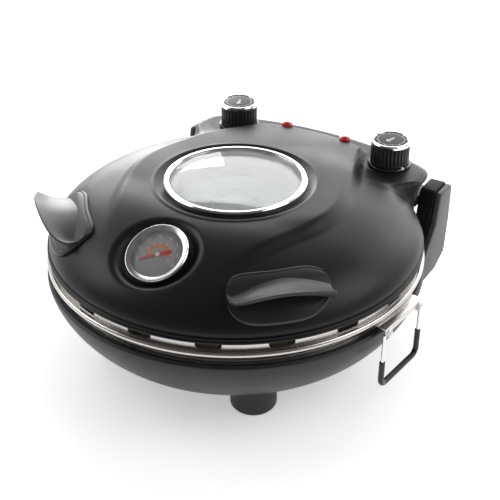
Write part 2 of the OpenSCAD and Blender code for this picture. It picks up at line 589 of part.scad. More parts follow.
// Section of a handle at share u of its span, 0 at the rear end and 1 at the front end
function handle_line(u) =
  let (end = pow(abs(2 * u - 1), 4), rt = plate_top_r + 9 * end, rl = plate_low_r - 11 * end,
       full = gap, out = gap + handle_t,
       reach = wing * pow(1 - u, 0.62) * ramp(u / 0.24), root = on_dome(crease_r, out), low = on_dome(crease_r + 5, out),
       tip = root + [reach + 1, mix(wing_lift, -2, u)], t = 3)
    [on_dome(rt, full), on_dome(rt, out - 0.8), on_dome(rt + 1, out), on_dome(mix(rt, crease_r, 0.6), out), root,
     mix(root, tip, 0.5) - [0, 0.8], tip, tip - [0.4, t], mix(low, tip - [0, t], 0.5) - [0, 0.6], low,
     on_dome(mix(crease_r, rl, 0.6), out), on_dome(rl - 1, out), on_dome(rl, out - 0.8), on_dome(rl, full),
     on_dome(mix(crease_r, rl, 0.5), full), on_dome(crease_r, full)];
module handle_right() color(plastic) on_floor() difference() {
  skin([for (i = [0 : handle_steps]) let (u = i / handle_steps, a = -handle_a + handle_span * (0.5 - u))
    [for (p = handle_line(min(0.985, max(0.015, u)))) [p.x * cos(a), p.x * sin(a), p.y]]], false);
  handle_screw_places(1) translate([0, 0, -2]) cylinder(r = 2, h = 4.2, $fn = 24);
}
module handle_left() mirrored() handle_right();
screw_r_place = dome_r - 17;
module handle_screw_places(s) for (d = [-8, 8]) mirror([s < 0 ? 1 : 0, 0, 0]) rotate([0, 0, -handle_a + d])
  let (n = dome_side(screw_r_place)) translate([screw_r_place, 0, dome_z(screw_r_place)])
    rotate([0, atan2(n.x, n.y), 0]) children();
module handle_screws() color(steel) on_floor() for (s = [-1, 1]) handle_screw_places(s) {
  translate([0, 0, -wall - 3.2]) cylinder(r = 4, h = 2.2, $fn = 24);
  translate([0, 0, -wall - 2]) cylinder(r = 2 - run_gap, h = wall + 4, $fn = 24);
}

// Pilot lamps and the cable gland
lamp_foot = 1.2; // height of a lens's flange over the console's middle line
module lamp(s) color([0.75, 0.05, 0.05]) on_floor() at_lamp(s) rotate_extrude($fn = 48)
  polygon(concat([[0, -9], [lamp_r - 1.5, -9], [lamp_r - 1.5, lamp_foot], [lamp_r, lamp_foot], [lamp_r, 1.8]],
    [for (t = [15 : 15 : 90]) [lamp_r * cos(t), 1.8 + 3.6 * sin(t)]]));
module lamp_left() lamp(-1);
module lamp_right() lamp(1);
module cable_gland() color(plastic) on_floor() rotate([0, 0, gland_a]) translate([skirt_r, 0, gland_z])
  rotate([0, 90, 0]) rotate_extrude() polygon([[3.4, -8], [gland_r, -8], [gland_r, 0.5], [gland_r + 1.6, 0.5],
                                               [gland_r + 1.6, 2.5], [gland_r, 5.5], [3.4, 5.5]]);

// Thermostats below the shelves, fixed seats above them, and the knobs
therm_body_h = 10;
therm_body_r = 14;
seat_z = shelf_z + gap;
seat_h = 2.6;
mark_a = -25; // direction of the seat's small bead
mark_r = 1.8;
bush_top = seat_z + seat_h - 0.4;
module at_knob(s) on_floor() translate([s * knob_x, knob_y, 0]) children();
module thermostat(s) color(steel) at_knob(s) difference() {
  union() {
    translate([0, 0, shelf_z - wall - gap - therm_body_h]) cylinder(r = therm_body_r, h = therm_body_h);
    translate([0, 0, shelf_z - wall - gap - 1]) cylinder(r = bush_r, h = bush_top - shelf_z + wall + gap + 1, $fn = 32);
  }
  translate([0, 0, shelf_z - wall - gap - therm_body_h + 2]) cylinder(r = shaft_r + run_gap, h = 40, $fn = 32);
}
module thermostat_left() thermostat(-1);
module thermostat_right() thermostat(1);
module knob_seat(s) color([0.12, 0.12, 0.12]) at_knob(s) difference() {
  union() {
    translate([0, 0, seat_z]) rotate_extrude() polygon([[0, 0], [seat_r, 0], [seat_r, 1.4], [seat_r - 1.2, seat_h],
                                                        [0, seat_h]]);
    // Small bead that marks where the knob points
    rotate([0, 0, mark_a]) translate([seat_r - 1.6, 0, seat_z + mark_r + 0.2]) sphere(mark_r, $fn = 24);
  }
  translate([0, 0, seat_z - 1]) cylinder(r = bush_r + gap, h = seat_h + 6, $fn = 32);
  // Room for the knob that turns above the seat
  translate([0, 0, seat_z + seat_h]) cylinder(r = knob_r - 0.6 + gap, h = 10);
}
module knob_seat_left() knob_seat(-1);
module knob_seat_right() knob_seat(1);
knob_z = seat_z + seat_h + gap;
knob_top = knob_z + knob_h;
knob_ring_h = 4;
skirt_knob_r = knob_r - 0.6;
// Outline of radius r with a shallow flute cut at every step round it
flute_d = 0.9;
function fluted(r) = [for (i = [0 : flute_n - 1]) for (f = [0, 0.5, 0.62, 0.75, 0.88])
  let (a = 360 * (i + f) / flute_n, d = f <= 0.5 ? 0 : flute_d * sin((f - 0.5) * 360)) (r - d) * [cos(a), sin(a)]];
knob_foot_h = 2; // plain rim below the flutes
shaft_foot_z = shelf_z - wall - therm_body_h + 2;
module knob(s) color(plastic) at_knob(s) {
  translate([0, 0, knob_z]) cylinder(r = skirt_knob_r, h = knob_foot_h, $fn = 96);
  translate([0, 0, knob_z + knob_foot_h]) linear_extrude(knob_h - knob_ring_h - gap - knob_foot_h)
    polygon(fluted(skirt_knob_r - 0.1));
  translate([0, 0, knob_z + 1]) cylinder(r = skirt_knob_r - 5, h = knob_h - 2.2 - 1, $fn = 48);
  translate([0, 0, shaft_foot_z]) cylinder(r = shaft_r, h = knob_z + 4 - shaft_foot_z, $fn = 32);
}
module knob_left() knob(-1);
module knob_right() knob(1);
module knob_ring(s) color(chrome) at_knob(s) translate([0, 0, knob_top - knob_ring_h]) rotate_extrude()
  polygon([[skirt_knob_r - 4.6, 0], [knob_r - 0.3, 0], [knob_r, 0.6], [knob_r, knob_ring_h - 1.2],
           [knob_r - 1.2, knob_ring_h], [knob_r - 2.4, knob_ring_h], [knob_r - 3, knob_ring_h - 1.3],
           [skirt_knob_r - 4.6, knob_ring_h - 1.3]]);
module knob_ring_left() knob_ring(-1);
module knob_ring_right() knob_ring(1);
module knob_face(s) color(black) at_knob(s) difference() {
  translate([0, 0, knob_top - 1]) cylinder(r = knob_r - 3.3, h = 0.9);
  rotate([0, 0, -90]) translate([knob_r - 8, -0.6, knob_top - 0.5]) cube([4, 1.2, 1]);
}
module knob_face_left() knob_face(-1);
module knob_face_right() knob_face(1);

// Hinge arms, in side view as y and z
arm_reach = 28.5; // how far the lower end reaches in front of the pivot
arm_line = [[pivot_y - 10, 31], [pivot_y + 20, 31], [pivot_y + 21, -8], [pivot_y + 18, pivot_z - 4],
            [pivot_y + 2, pivot_z - 16], [pivot_y - 18, pivot_z - 16], [pivot_y - arm_reach, pivot_z - 7],
            [pivot_y - arm_reach, pivot_z + 5], [pivot_y - 23, pivot_z + 16], [pivot_y - 15.5, 0]];
arm_pts = rounded(arm_line, 5);
module arm_slab(x, t, inset) translate([x, 0, 0]) rotate([90, 0, 90]) linear_extrude(t)
  polygon(inset == 0 ? arm_pts : [for (i = [0 : len(arm_pts) - 1])
    let (n = len(arm_pts), d = unit(arm_pts[(i + 1) % n] - arm_pts[(i + n - 1) % n])) arm_pts[i] + inset * [d.y, -d.x]]);
arm_screw_pts = [[pivot_y + 13, 22], [pivot_y + 14, -22]];
module hinge_arm_right() color(plastic) on_floor() difference() {
  arm_slab(arm_in, cover_in - gap - arm_in, 0);
  translate([arm_in - 1, pivot_y, pivot_z]) rotate([0, 90, 0]) cylinder(r = pin_r + run_gap, h = arm_t);
  for (p = arm_screw_pts) translate([cover_in - 9, p.x, p.y]) rotate([0, 90, 0])
    cylinder(r = 1.6, h = 10, $fn = 24);
}
module hinge_arm_left() mirrored() hinge_arm_right();
slot_y = pivot_y - 17;
slot_z = pivot_z - 4;
module arm_cover_right() color([0.16, 0.16, 0.17]) on_floor() difference() {
  arm_slab(cover_in, cover_t, 1.2);
  for (p = arm_screw_pts) translate([cover_in - 1, p.x, p.y]) rotate([0, 90, 0]) {
    cylinder(r = 1.6 + gap, h = cover_t + 2, $fn = 24);
    translate([0, 0, 4]) cylinder(r = 3.6, h = cover_t, $fn = 24);
  }
  // Slot-like recess over the lower end
  translate([cover_in + cover_t - 1.5, slot_y, slot_z]) rotate([90, 0, 90]) rotate([0, 0, 60]) linear_extrude(3) {
    square([9, 4], center = true);
    for (s = [-1, 1]) translate([4.5 * s, 0]) circle(2, $fn = 24);
  }
}
module arm_cover_left() mirrored() arm_cover_right();
module arm_screws() color([0.2, 0.2, 0.2]) on_floor() for (s = [0, 1]) mirror([s, 0, 0])
  for (p = arm_screw_pts) translate([0, p.x, p.y]) rotate([0, 90, 0]) {
    translate([0, 0, cover_in - 7]) cylinder(r = 1.6 - run_gap, h = 11, $fn = 24);
    translate([0, 0, cover_in + 3.2]) cylinder(r = 3.2, h = 1.6, $fn = 24);
  }
// Blocks that tie the arms to the lid's skirt
module arm_bracket_right() color(plastic) on_floor() difference() {
  translate([arm_in - 18, pivot_y - 17, lid_z + 3.5]) cube([18 - gap, 28, 10]);
  translate([0, 0, lid_z]) cylinder(r = skirt_r + gap, h = 20, $fn = 96);
}
module arm_bracket_left() mirrored() arm_bracket_right();

// Thermometer, drawn with its face up at its own origin
can_floor = -5; // where the can's inside ends
can_rim = -3.5;
can_bottom = -13;
stem_end = -33;
dial_t = 0.8;
dial_top = can_floor + gap + dial_t;
nut_h = 4;
module thermometer_can() color(black) on_floor() at_thermometer() difference() {
  union() {
    translate([0, 0, can_bottom]) cylinder(r = can_r, h = can_rim - can_bottom);
    translate([0, 0, stem_end]) cylinder(r = stem_r, h = can_bottom + 1 - stem_end, $fn = 32);
  }
  translate([0, 0, can_floor]) cylinder(r = can_r - 1, h = 6);
}
module thermometer_bezel() color(chrome) on_floor() at_thermometer() rotate_extrude($fn = 96)
  polygon(concat([[can_r - 1.4, -3.2], [bezel_r - 0.8, -3.2], [bezel_r, -2.4]],
    [for (t = [0 : 18 : 90]) [bezel_r - 3 + 3 * cos(t), -1.6 + 1.6 * sin(t)]], [[bezel_r - 5, -0.6], [can_r - 1.4, -2]]));
module thermometer_dial() color([0.2, 0.2, 0.2]) on_floor() at_thermometer() difference() {
  translate([0, 0, dial_top - dial_t]) cylinder(r = can_r - 1 - gap, h = dial_t);
  translate([0, 0, dial_top - 2]) cylinder(r = hub_r + run_gap, h = 3, $fn = 24);
}
hub_r = 1;
needle_rest = 214; // direction of the needle's point at rest, on the dial
module thermometer_needle() color([0.75, 0.1, 0.08]) on_floor() at_thermometer() rotate([0, 0, needle_rest]) {
  translate([0, 0, dial_top + 0.1]) linear_extrude(0.5)
    polygon([[-12, -1.8], [-12, 1.8], [0, 1.2], [16, 0.4], [16, -0.4], [0, -1.2]]);
  translate([0, 0, dial_top - dial_t + 0.1]) cylinder(r = hub_r, h = 1.6, $fn = 24);
}
module thermometer_glass() color([0.8, 0.85, 0.85, 0.4]) on_floor() at_thermometer() translate([0, 0, -2.8])
  cylinder(r = can_r - 1.4 - gap, h = 0.8);
module thermometer_nut() color(steel) on_floor() at_thermometer() translate([0, 0, can_bottom - gap - nut_h]) difference() {
  cylinder(r = 9, h = nut_h, $fn = 6);
  translate([0, 0, -1]) cylinder(r = stem_r + run_gap, h = 6, $fn = 32);
}

base_bowl();
base_reflector();
lower_element();
lower_clips();
feet();
foot_screws();
hinge_lug_left();
hinge_lug_right();
hinge_pins();
stone_tray();
pizza_stone();
tray_bracket_left();
tray_bracket_right();
tray_rivets();
bail_left();
bail_right();
bail_grip_left();
bail_grip_right();
lid_shell();
lid_liner();
upper_element();
upper_clips();
window_ring();
window_glass();
window_well();
inner_glass();
handle_left();
handle_right();
handle_screws();
lamp_left();
lamp_right();
cable_gland();
thermostat_left();
thermostat_right();
knob_seat_left();
knob_seat_right();
knob_left();
knob_right();
knob_ring_left();
knob_ring_right();
knob_face_left();
knob_face_right();
hinge_arm_left();
hinge_arm_right();
arm_cover_left();
arm_cover_right();
arm_screws();
arm_bracket_left();
arm_bracket_right();
thermometer_can();
thermometer_bezel();
thermometer_dial();
thermometer_needle();
thermometer_glass();
thermometer_nut();
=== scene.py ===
import math
import bmesh
import bpy
from mathutils import Matrix, Vector


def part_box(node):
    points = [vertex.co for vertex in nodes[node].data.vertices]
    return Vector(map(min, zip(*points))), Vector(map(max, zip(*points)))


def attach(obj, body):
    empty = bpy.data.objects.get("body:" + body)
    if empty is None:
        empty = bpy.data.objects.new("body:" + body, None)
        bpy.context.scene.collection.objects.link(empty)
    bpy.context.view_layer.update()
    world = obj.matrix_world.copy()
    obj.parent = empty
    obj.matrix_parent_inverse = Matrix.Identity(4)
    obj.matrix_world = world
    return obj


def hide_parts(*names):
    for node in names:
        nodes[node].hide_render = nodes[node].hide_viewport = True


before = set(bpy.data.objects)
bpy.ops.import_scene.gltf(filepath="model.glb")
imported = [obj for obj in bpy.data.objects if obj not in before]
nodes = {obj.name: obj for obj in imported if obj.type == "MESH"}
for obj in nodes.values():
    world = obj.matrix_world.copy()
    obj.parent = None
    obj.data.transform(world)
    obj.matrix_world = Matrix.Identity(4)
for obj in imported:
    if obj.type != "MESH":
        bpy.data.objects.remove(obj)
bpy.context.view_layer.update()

# Shapes are drawn in millimetres from the oven's axis, level with the tray's bright bead, with -Y towards the cook.
bowlBox = [corner * 1000 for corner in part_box("base_bowl")]
bandRise = 10.0  # steel band above the bead
axisY = (bowlBox[0].y + bowlBox[1].y) / 2
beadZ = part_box("stone_tray")[1].z * 1000 - bandRise
toRow = Matrix.Scale(0.001, 4) @ Matrix.Translation((0, axisY, beadZ))
bothSides = (("right", 1), ("left", -1))
scene = bpy.context.scene


def addObject(name, data):
    made = bpy.data.objects.new(name, data)
    scene.collection.objects.link(made)
    return made


# Camera, at the photograph's place and lens
cameraAt = {"azimuth": 31.83, "elevation": 31.69, "place": (437.0, -679.2, 490.0), "lens": 72.0}
azimuth, elevation = math.radians(cameraAt["azimuth"]), math.radians(cameraAt["elevation"])
lookBack = Vector((math.sin(azimuth) * math.cos(elevation), -math.cos(azimuth) * math.cos(elevation),
                   math.sin(elevation)))
camera = addObject("camera", bpy.data.cameras.new("camera"))
camera.data.lens = cameraAt["lens"]
camera.data.sensor_width = 36
camera.data.clip_start, camera.data.clip_end = 0.01, 50
camera.location = toRow @ Vector(cameraAt["place"])
camera.rotation_mode = "QUATERNION"
camera.rotation_quaternion = (-lookBack).to_track_quat("-Z", "Y")
scene.camera = camera
print("camera placed")


# Numbers and curves
def ramp(t):
    t = max(0.0, min(1.0, t))
    return t * t * (3 - 2 * t)


def mix(a, b, t):
    return a + (b - a) * t


def smoothMax(a, b, k):
    return (a + b + math.sqrt((a - b) ** 2 + k * k)) / 2


def smoothMin(a, b, k):
    return (a + b - math.sqrt((a - b) ** 2 + k * k)) / 2


def softMin(a, b, k):  # reaches no further than k from where a and b meet
    h = max(k - abs(a - b), 0.0) / k
    return min(a, b) - h * h * k / 4


def polar(radius, degrees, z=0.0):
    return Vector((radius * math.cos(math.radians(degrees)), radius * math.sin(math.radians(degrees)), z))


def roundCorners(points, radius, steps=5, closed=True):
    out, count = [], len(points)
    for i in range(count):
        here = Vector(points[i])
        size = radius[i] if isinstance(radius, (list, tuple)) else radius
        before = Vector(points[i - 1]) - here
        after = Vector(points[(i + 1) % count]) - here
        half = before.angle(after) / 2
        if size <= 0 or half > math.radians(87) or (not closed and i in (0, count - 1)):
            out.append(here)
            continue
        before, after = before.normalized(), after.normalized()
        centre = here + (before + after).normalized() * size / math.sin(half)
        first = here + before * size / math.tan(half) - centre
        last = here + after * size / math.tan(half) - centre
        swing = first.angle(last)
        for step in range(steps + 1):
            t = step / steps
            out.append(centre + (first * math.sin((1 - t) * swing) + last * math.sin(t * swing)) / math.sin(swing))
    return out


def softLine(points, steps=4):  # smooth run through the middles of a line's pieces
    points = [Vector(point) for point in points]
    out = [points[0]]
    for before, here, after in zip(points, points[1:], points[2:]):
        start, end = (before + here) / 2, (here + after) / 2
        for step in range(steps):
            t = step / steps
            out.append(start * (1 - t) ** 2 + here * 2 * t * (1 - t) + end * t * t)
    return out + [(points[-2] + points[-1]) / 2, points[-1]]


# Mesh makers
def lathe(profile, steps, closed=False):
    bm = bmesh.new()
    ring = [bm.verts.new((point[0], 0, point[1])) for point in profile]
    pairs = list(zip(ring, ring[1:])) + ([(ring[-1], ring[0])] if closed else [])
    edges = [bm.edges.new(pair) for pair in pairs]
    bmesh.ops.spin(bm, geom=ring + edges, cent=(0, 0, 0), axis=(0, 0, 1), angle=math.tau, steps=steps, use_merge=True)
    bmesh.ops.remove_doubles(bm, verts=bm.verts, dist=1e-4)
    return bm


def wrapGrid(columns, rows, place):  # bends a flat grid to the places that place(column, row) gives
    bm = bmesh.new()
    bmesh.ops.create_grid(bm, x_segments=columns, y_segments=rows, size=1)
    for vert in bm.verts:
        vert.co = place(round((vert.co.x + 1) / 2 * columns), round((vert.co.y + 1) / 2 * rows))
    bmesh.ops.remove_doubles(bm, verts=bm.verts, dist=1e-4)
    return bm


def slab(outline, low, high, edge=0.0, segments=3):
    bm = bmesh.new()
    face = bm.faces.new([bm.verts.new((point[0], point[1], low)) for point in outline])
    grown = bmesh.ops.extrude_face_region(bm, geom=[face])["geom"]
    top = [item for item in grown if isinstance(item, bmesh.types.BMVert)]
    bmesh.ops.translate(bm, verts=top, vec=(0, 0, high - low))
    bmesh.ops.recalc_face_normals(bm, faces=bm.faces)
    if edge:
        rim = [item for item in bm.edges if abs(item.verts[0].co.z - item.verts[1].co.z) < 1e-6]
        bmesh.ops.bevel(bm, geom=rim, offset=edge, offset_type="OFFSET", segments=segments, profile=0.5,
                        affect="EDGES", material=-1, clamp_overlap=True)
    return bm


def capped(bm):  # fills the open ends
    bmesh.ops.holes_fill(bm, edges=[edge for edge in bm.edges if edge.is_boundary], sides=0)
    return bm


def tube(points, radius, sides=20):  # round bar along a path
    points = [Vector(point) for point in points]
    count = len(points)
    frames, side = [], None
    for i in range(count):
        along = (points[min(i + 1, count - 1)] - points[max(i - 1, 0)]).normalized()
        if side is None:
            side = along.orthogonal().normalized()
        side = (side - along * side.dot(along)).normalized()
        frames.append((points[i], side.copy(), along.cross(side)))

    def place(column, row):
        at, u, v = frames[min(row, count - 1)]
        turn = math.tau * (column % sides) / sides
        return at + (u * math.cos(turn) + v * math.sin(turn)) * radius
    return capped(wrapGrid(sides, count - 1, place))


def joined(parts):  # one mesh out of several, which are used up
    bm = bmesh.new()
    for part in parts:
        mesh = bpy.data.meshes.new("joined")
        part.to_mesh(mesh)
        part.free()
        bm.from_mesh(mesh)
        bpy.data.meshes.remove(mesh)
    return bm


def spun(degrees):
    return Matrix.Rotation(math.radians(degrees), 4, "Z")


def tilted(x, y, z, degrees):  # a place of its own, tipped about the X axis
    return Matrix.Translation((x, y, z)) @ Matrix.Rotation(math.radians(degrees), 4, "X")


def mirrored(bm):
    bmesh.ops.scale(bm, verts=bm.verts, vec=(-1, 1, 1))
    return bm


def addPiece(bm, name, body, finish, replaced=(), sharp=35, place=None):
    if place is not None:
        bm.transform(place)
    bmesh.ops.recalc_face_normals(bm, faces=bm.faces)
    bm.transform(toRow)
    mesh = bpy.data.meshes.new(name)
    bm.to_mesh(mesh)
    bm.free()
    mesh.materials.append(finishes[finish])
    mesh.shade_smooth()
    mesh.set_sharp_from_angle(angle=math.radians(sharp))
    piece = addObject(name, mesh)
    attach(piece, body)
    if replaced:
        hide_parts(*replaced)
    return piece


# Shader groups that the finishes share
def newGroup(name, inputs, outputs):
    group = bpy.data.node_groups.new(name, "ShaderNodeTree")
    for socket, kind, value in inputs:
        made = group.interface.new_socket(socket, in_out="INPUT", socket_type=kind)
        if value is not None:
            made.default_value = value
    for socket, kind in outputs:
        group.interface.new_socket(socket, in_out="OUTPUT", socket_type=kind)
    return group, group.nodes.new("NodeGroupInput"), group.nodes.new("NodeGroupOutput")


def addNode(tree, kind, values=None, **settings):
    node = tree.nodes.new("ShaderNode" + kind)
    for key, value in settings.items():
        setattr(node, key, value)
    for key, value in (values or {}).items():
        node.inputs[key].default_value = value
    return node


def linkUp(tree, *pairs):
    for source, target in pairs:
        tree.links.new(source, target)


# Fine moulded or sprayed grain: a height for the bump and a mask for the tone
grainGroup, gin, gout = newGroup("surface grain",
                                 [("Coordinates", "NodeSocketVector", None), ("Scale", "NodeSocketFloat", 900.0),
                                  ("Coarse", "NodeSocketFloat", 0.4)],
                                 [("Height", "NodeSocketFloat"), ("Mask", "NodeSocketFloat")])
fineNoise = addNode(grainGroup, "TexNoise", {"Detail": 3.0, "Roughness": 0.6})
cells = addNode(grainGroup, "TexVoronoi", {"Randomness": 1.0})
blendIt = addNode(grainGroup, "Mix", data_type="FLOAT")
slow = addNode(grainGroup, "TexNoise", {"Scale": 18.0, "Detail": 2.0})
for texture in (fineNoise, cells):
    linkUp(grainGroup, (gin.outputs["Coordinates"], texture.inputs["Vector"]),
           (gin.outputs["Scale"], texture.inputs["Scale"]))
linkUp(grainGroup, (gin.outputs["Coordinates"], slow.inputs["Vector"]),
       (gin.outputs["Coarse"], blendIt.inputs["Factor"]), (fineNoise.outputs["Fac"], blendIt.inputs[2]),
       (cells.outputs["Distance"], blendIt.inputs[3]), (blendIt.outputs[0], gout.inputs["Height"]),
       (slow.outputs["Fac"], gout.inputs["Mask"]))

# Brushing that runs round the oven's axis
brushGroup, gin, gout = newGroup("round brushing",
                                 [("Coordinates", "NodeSocketVector", None), ("Fineness", "NodeSocketFloat", 2600.0)],
                                 [("Height", "NodeSocketFloat"), ("Mask", "NodeSocketFloat")])
parts = addNode(brushGroup, "SeparateXYZ")
turnAt = addNode(brushGroup, "Math", operation="ARCTAN2")
away = addNode(brushGroup, "VectorMath", operation="LENGTH")
flat = addNode(brushGroup, "CombineXYZ")
line = addNode(brushGroup, "CombineXYZ")
streaks = addNode(brushGroup, "TexNoise", {"Detail": 4.0, "Roughness": 0.7})
clouds = addNode(brushGroup, "TexNoise", {"Scale": 9.0, "Detail": 2.0})
linkUp(brushGroup, (gin.outputs["Coordinates"], parts.inputs[0]), (parts.outputs["X"], turnAt.inputs[0]),
       (parts.outputs["Y"], turnAt.inputs[1]), (parts.outputs["X"], flat.inputs["X"]),
       (parts.outputs["Y"], flat.inputs["Y"]), (flat.outputs[0], away.inputs[0]),
       (away.outputs["Value"], line.inputs["X"]), (parts.outputs["Z"], line.inputs["Y"]))
slowTurn = addNode(brushGroup, "Math", {1: 0.004}, operation="MULTIPLY")
linkUp(brushGroup, (turnAt.outputs[0], slowTurn.inputs[0]), (slowTurn.outputs[0], line.inputs["Z"]),
       (line.outputs[0], streaks.inputs["Vector"]), (gin.outputs["Fineness"], streaks.inputs["Scale"]),
       (gin.outputs["Coordinates"], clouds.inputs["Vector"]), (streaks.outputs["Fac"], gout.inputs["Height"]),
       (clouds.outputs["Fac"], gout.inputs["Mask"]))


def newFinish(name, color, roughness, sockets=None, group=grainGroup, scale=900.0, depth=0.00002, coarse=0.4,
              spread=0.06, tone=0.12):
    material = bpy.data.materials.new(name)
    material.use_nodes = True
    tree = material.node_tree
    shader = tree.nodes["Principled BSDF"]
    for key, value in (sockets or {}).items():
        shader.inputs[key].default_value = value
    coords = addNode(tree, "TexCoord")
    centred = addNode(tree, "Mapping")
    centred.inputs["Location"].default_value = (0, -axisY * 0.001, 0)
    surface = addNode(tree, "Group", node_tree=group)
    if group is grainGroup:
        surface.inputs["Scale"].default_value = scale
        surface.inputs["Coarse"].default_value = coarse
    else:
        surface.inputs["Fineness"].default_value = scale
    bump = addNode(tree, "Bump", {"Strength": 0.5, "Distance": depth})
    shade = addNode(tree, "MapRange", {"From Min": 0.3, "From Max": 0.7, "To Min": roughness - spread,
                                       "To Max": roughness + spread})
    paint = addNode(tree, "Mix", data_type="RGBA")
    paint.inputs[6].default_value = (*[c * (1 - tone) for c in color], 1)
    paint.inputs[7].default_value = (*[min(1.0, c * (1 + tone)) for c in color], 1)
    linkUp(tree, (coords.outputs["Object"], centred.inputs["Vector"]),
           (centred.outputs[0], surface.inputs["Coordinates"]),
           (surface.outputs["Height"], bump.inputs["Height"]),
           (bump.outputs["Normal"], shader.inputs["Normal"]), (surface.outputs["Mask"], shade.inputs["Value"]),
           (shade.outputs["Result"], shader.inputs["Roughness"]),
           (surface.outputs["Mask"], paint.inputs["Factor"]), (paint.outputs[2], shader.inputs["Base Color"]))
    return material


finishes = {
    "lidPaint": newFinish("lid paint", (0.007, 0.007, 0.0075), 0.4, {"Specular IOR Level": 0.28}, scale=1500,
                          depth=0.00001),
    "bowlPaint": newFinish("bowl paint", (0.012, 0.012, 0.013), 0.42, {"Specular IOR Level": 0.45}, scale=1500,
                           depth=0.00001),
    "steel": newFinish("bright steel", (0.62, 0.6, 0.58), 0.26, {"Metallic": 1.0}, group=brushGroup, scale=2600,
                       depth=0.000008, tone=0.05),
    "sheet": newFinish("pan steel", (0.6, 0.6, 0.59), 0.3, {"Metallic": 1.0}, group=brushGroup, scale=1400,
                       depth=0.000008, tone=0.06),
    "chrome": newFinish("chrome", (0.82, 0.82, 0.84), 0.08, {"Metallic": 1.0}, scale=700, depth=0.000001, spread=0.03,
                        tone=0.02),
    "satin": newFinish("satin chrome", (0.88, 0.88, 0.88), 0.24, {"Metallic": 1.0}, depth=0.000002, spread=0.04,
                       tone=0.03),
    "rod": newFinish("heating rod", (0.09, 0.085, 0.08), 0.5, {"Metallic": 0.6}, scale=1200, depth=0.00003,
                     tone=0.25),
    "foot": newFinish("foot plastic", (0.014, 0.014, 0.014), 0.5, scale=1100, depth=0.00003),
    "plastic": newFinish("moulded plastic", (0.013, 0.013, 0.014), 0.4, scale=1300, depth=0.00003, coarse=0.6),
    "grip": newFinish("handle plastic", (0.022, 0.022, 0.023), 0.46, scale=1300, depth=0.00004, coarse=0.6),
    "cover": newFinish("cover plastic", (0.06, 0.06, 0.062), 0.5, scale=1200, depth=0.00004, coarse=0.7),
    "gloss": newFinish("gloss plastic", (0.01, 0.01, 0.011), 0.16, scale=800, depth=0.000004),
    "face": newFinish("knob face", (0.012, 0.012, 0.013), 0.3, {"Specular IOR Level": 0.12}, scale=800,
                      depth=0.000004),
    "stone": newFinish("baking stone", (0.62, 0.56, 0.46), 0.85, scale=500, depth=0.00015, coarse=0.5, tone=0.16),
    "dial": newFinish("dial paint", (0.34, 0.34, 0.345), 0.6, depth=0.000005),
    "print": newFinish("white print", (0.88, 0.88, 0.87), 0.6, depth=0.000002, tone=0.03),
    "needle": newFinish("needle paint", (0.75, 0.035, 0.025), 0.35, depth=0.000003, tone=0.08),
    "lens": newFinish("red lens", (0.62, 0.02, 0.022), 0.12,
                      {"Transmission Weight": 0.25, "IOR": 1.49, "Coat Weight": 0.6}, scale=300, depth=0.00002,
                      tone=0.15),
    "well": newFinish("well steel", (0.36, 0.36, 0.36), 0.5, {"Specular IOR Level": 0.2}, depth=0.000004, tone=0.05),
    "armBody": newFinish("arm plastic", (0.009, 0.009, 0.0095), 0.55, {"Specular IOR Level": 0.12}, scale=1300,
                         depth=0.00003),
    # pale pane colour: painted reflection and painted light for the window's inside, not a milky glass
    "paintedPaneLight": newFinish("pale pane with painted window light", (0.54, 0.55, 0.55), 0.55, {"Specular IOR Level": 0.15}, scale=200,
                       depth=0.000004, tone=0.03),
    "glass": newFinish("clear glass", (0.97, 0.98, 0.98), 0.03,
                       {"Transmission Weight": 1.0, "IOR": 1.46, "Alpha": 0.4}, scale=60, depth=0.000001, spread=0.01,
                       tone=0.01),
}
print("finishes ready")

# Lid: a skirt, a round dome, two knob shelves and the raised shield that runs back into the console
lid = {"skirtR": 174.5, "domeR": 173.0, "edgeZ": 10.3, "domeH": 51.0, "bulge": 3.2, "ease": 0.576, "shieldStep": 4.5,
       "shieldR": 97.0, "frontR": 48.0, "frontY": 125.0, "rearR": 50.0, "rearY": 150.0, "shelfZ": 44.6,
       "consoleY": 182.0, "rearArc": 350.0, "slopeFrom": 72.0, "consoleDrop": 0.17, "sideX": 131.0, "underX": 124.0,
       "blend": 8.0, "wall": 2.4, "recessOut": 76.7, "holeR": 60.2, "ringsUp": 56, "turns": 480}
domeFoot = lid["edgeZ"] + 4.0
plateZ = domeFoot + lid["domeH"] + 2.0
knob = {"x": 87.4, "y": 144.0, "r": 19.6, "top": 71.5, "flutes": 30, "ringH": 4.0, "markA": -25.0}
seatR = knob["r"] + 1.6


def domeZ(r):
    return domeFoot + lid["domeH"] * max(0.0, 1 - (r / lid["domeR"]) ** lid["bulge"]) ** lid["ease"]


def topReach(a):
    s, c = math.sin(a), lid["rearArc"] - lid["consoleY"]
    rear = 0.0
    if s > 0.35:
        arc = -c * s + math.sqrt((c * s) ** 2 + lid["rearArc"] ** 2 - c * c)
        rear = smoothMin(arc, lid["sideX"] / max(abs(math.cos(a)), 0.05), 14)
    return smoothMax(lid["domeR"] - 1, rear, 3)


def taperGap(x, along, r1, r2, h):
    b = (r1 - r2) / h
    a = math.sqrt(1 - b * b)
    k = -b * abs(x) + a * along
    if k < 0:
        return math.hypot(x, along) - r1
    return math.hypot(x, along - h) - r2 if k > a * h else a * abs(x) + b * along - r1


def consoleShare(a):  # 0 where the lid is round, 1 where knob shelves and console reach out
    return ramp((topReach(a) - lid["domeR"]) / lid["blend"])


def shieldGap(x, y):
    if y < 0:
        return taperGap(x, -y, lid["shieldR"], lid["frontR"], lid["frontY"])
    return taperGap(x, y, lid["shieldR"], lid["rearR"], lid["rearY"])


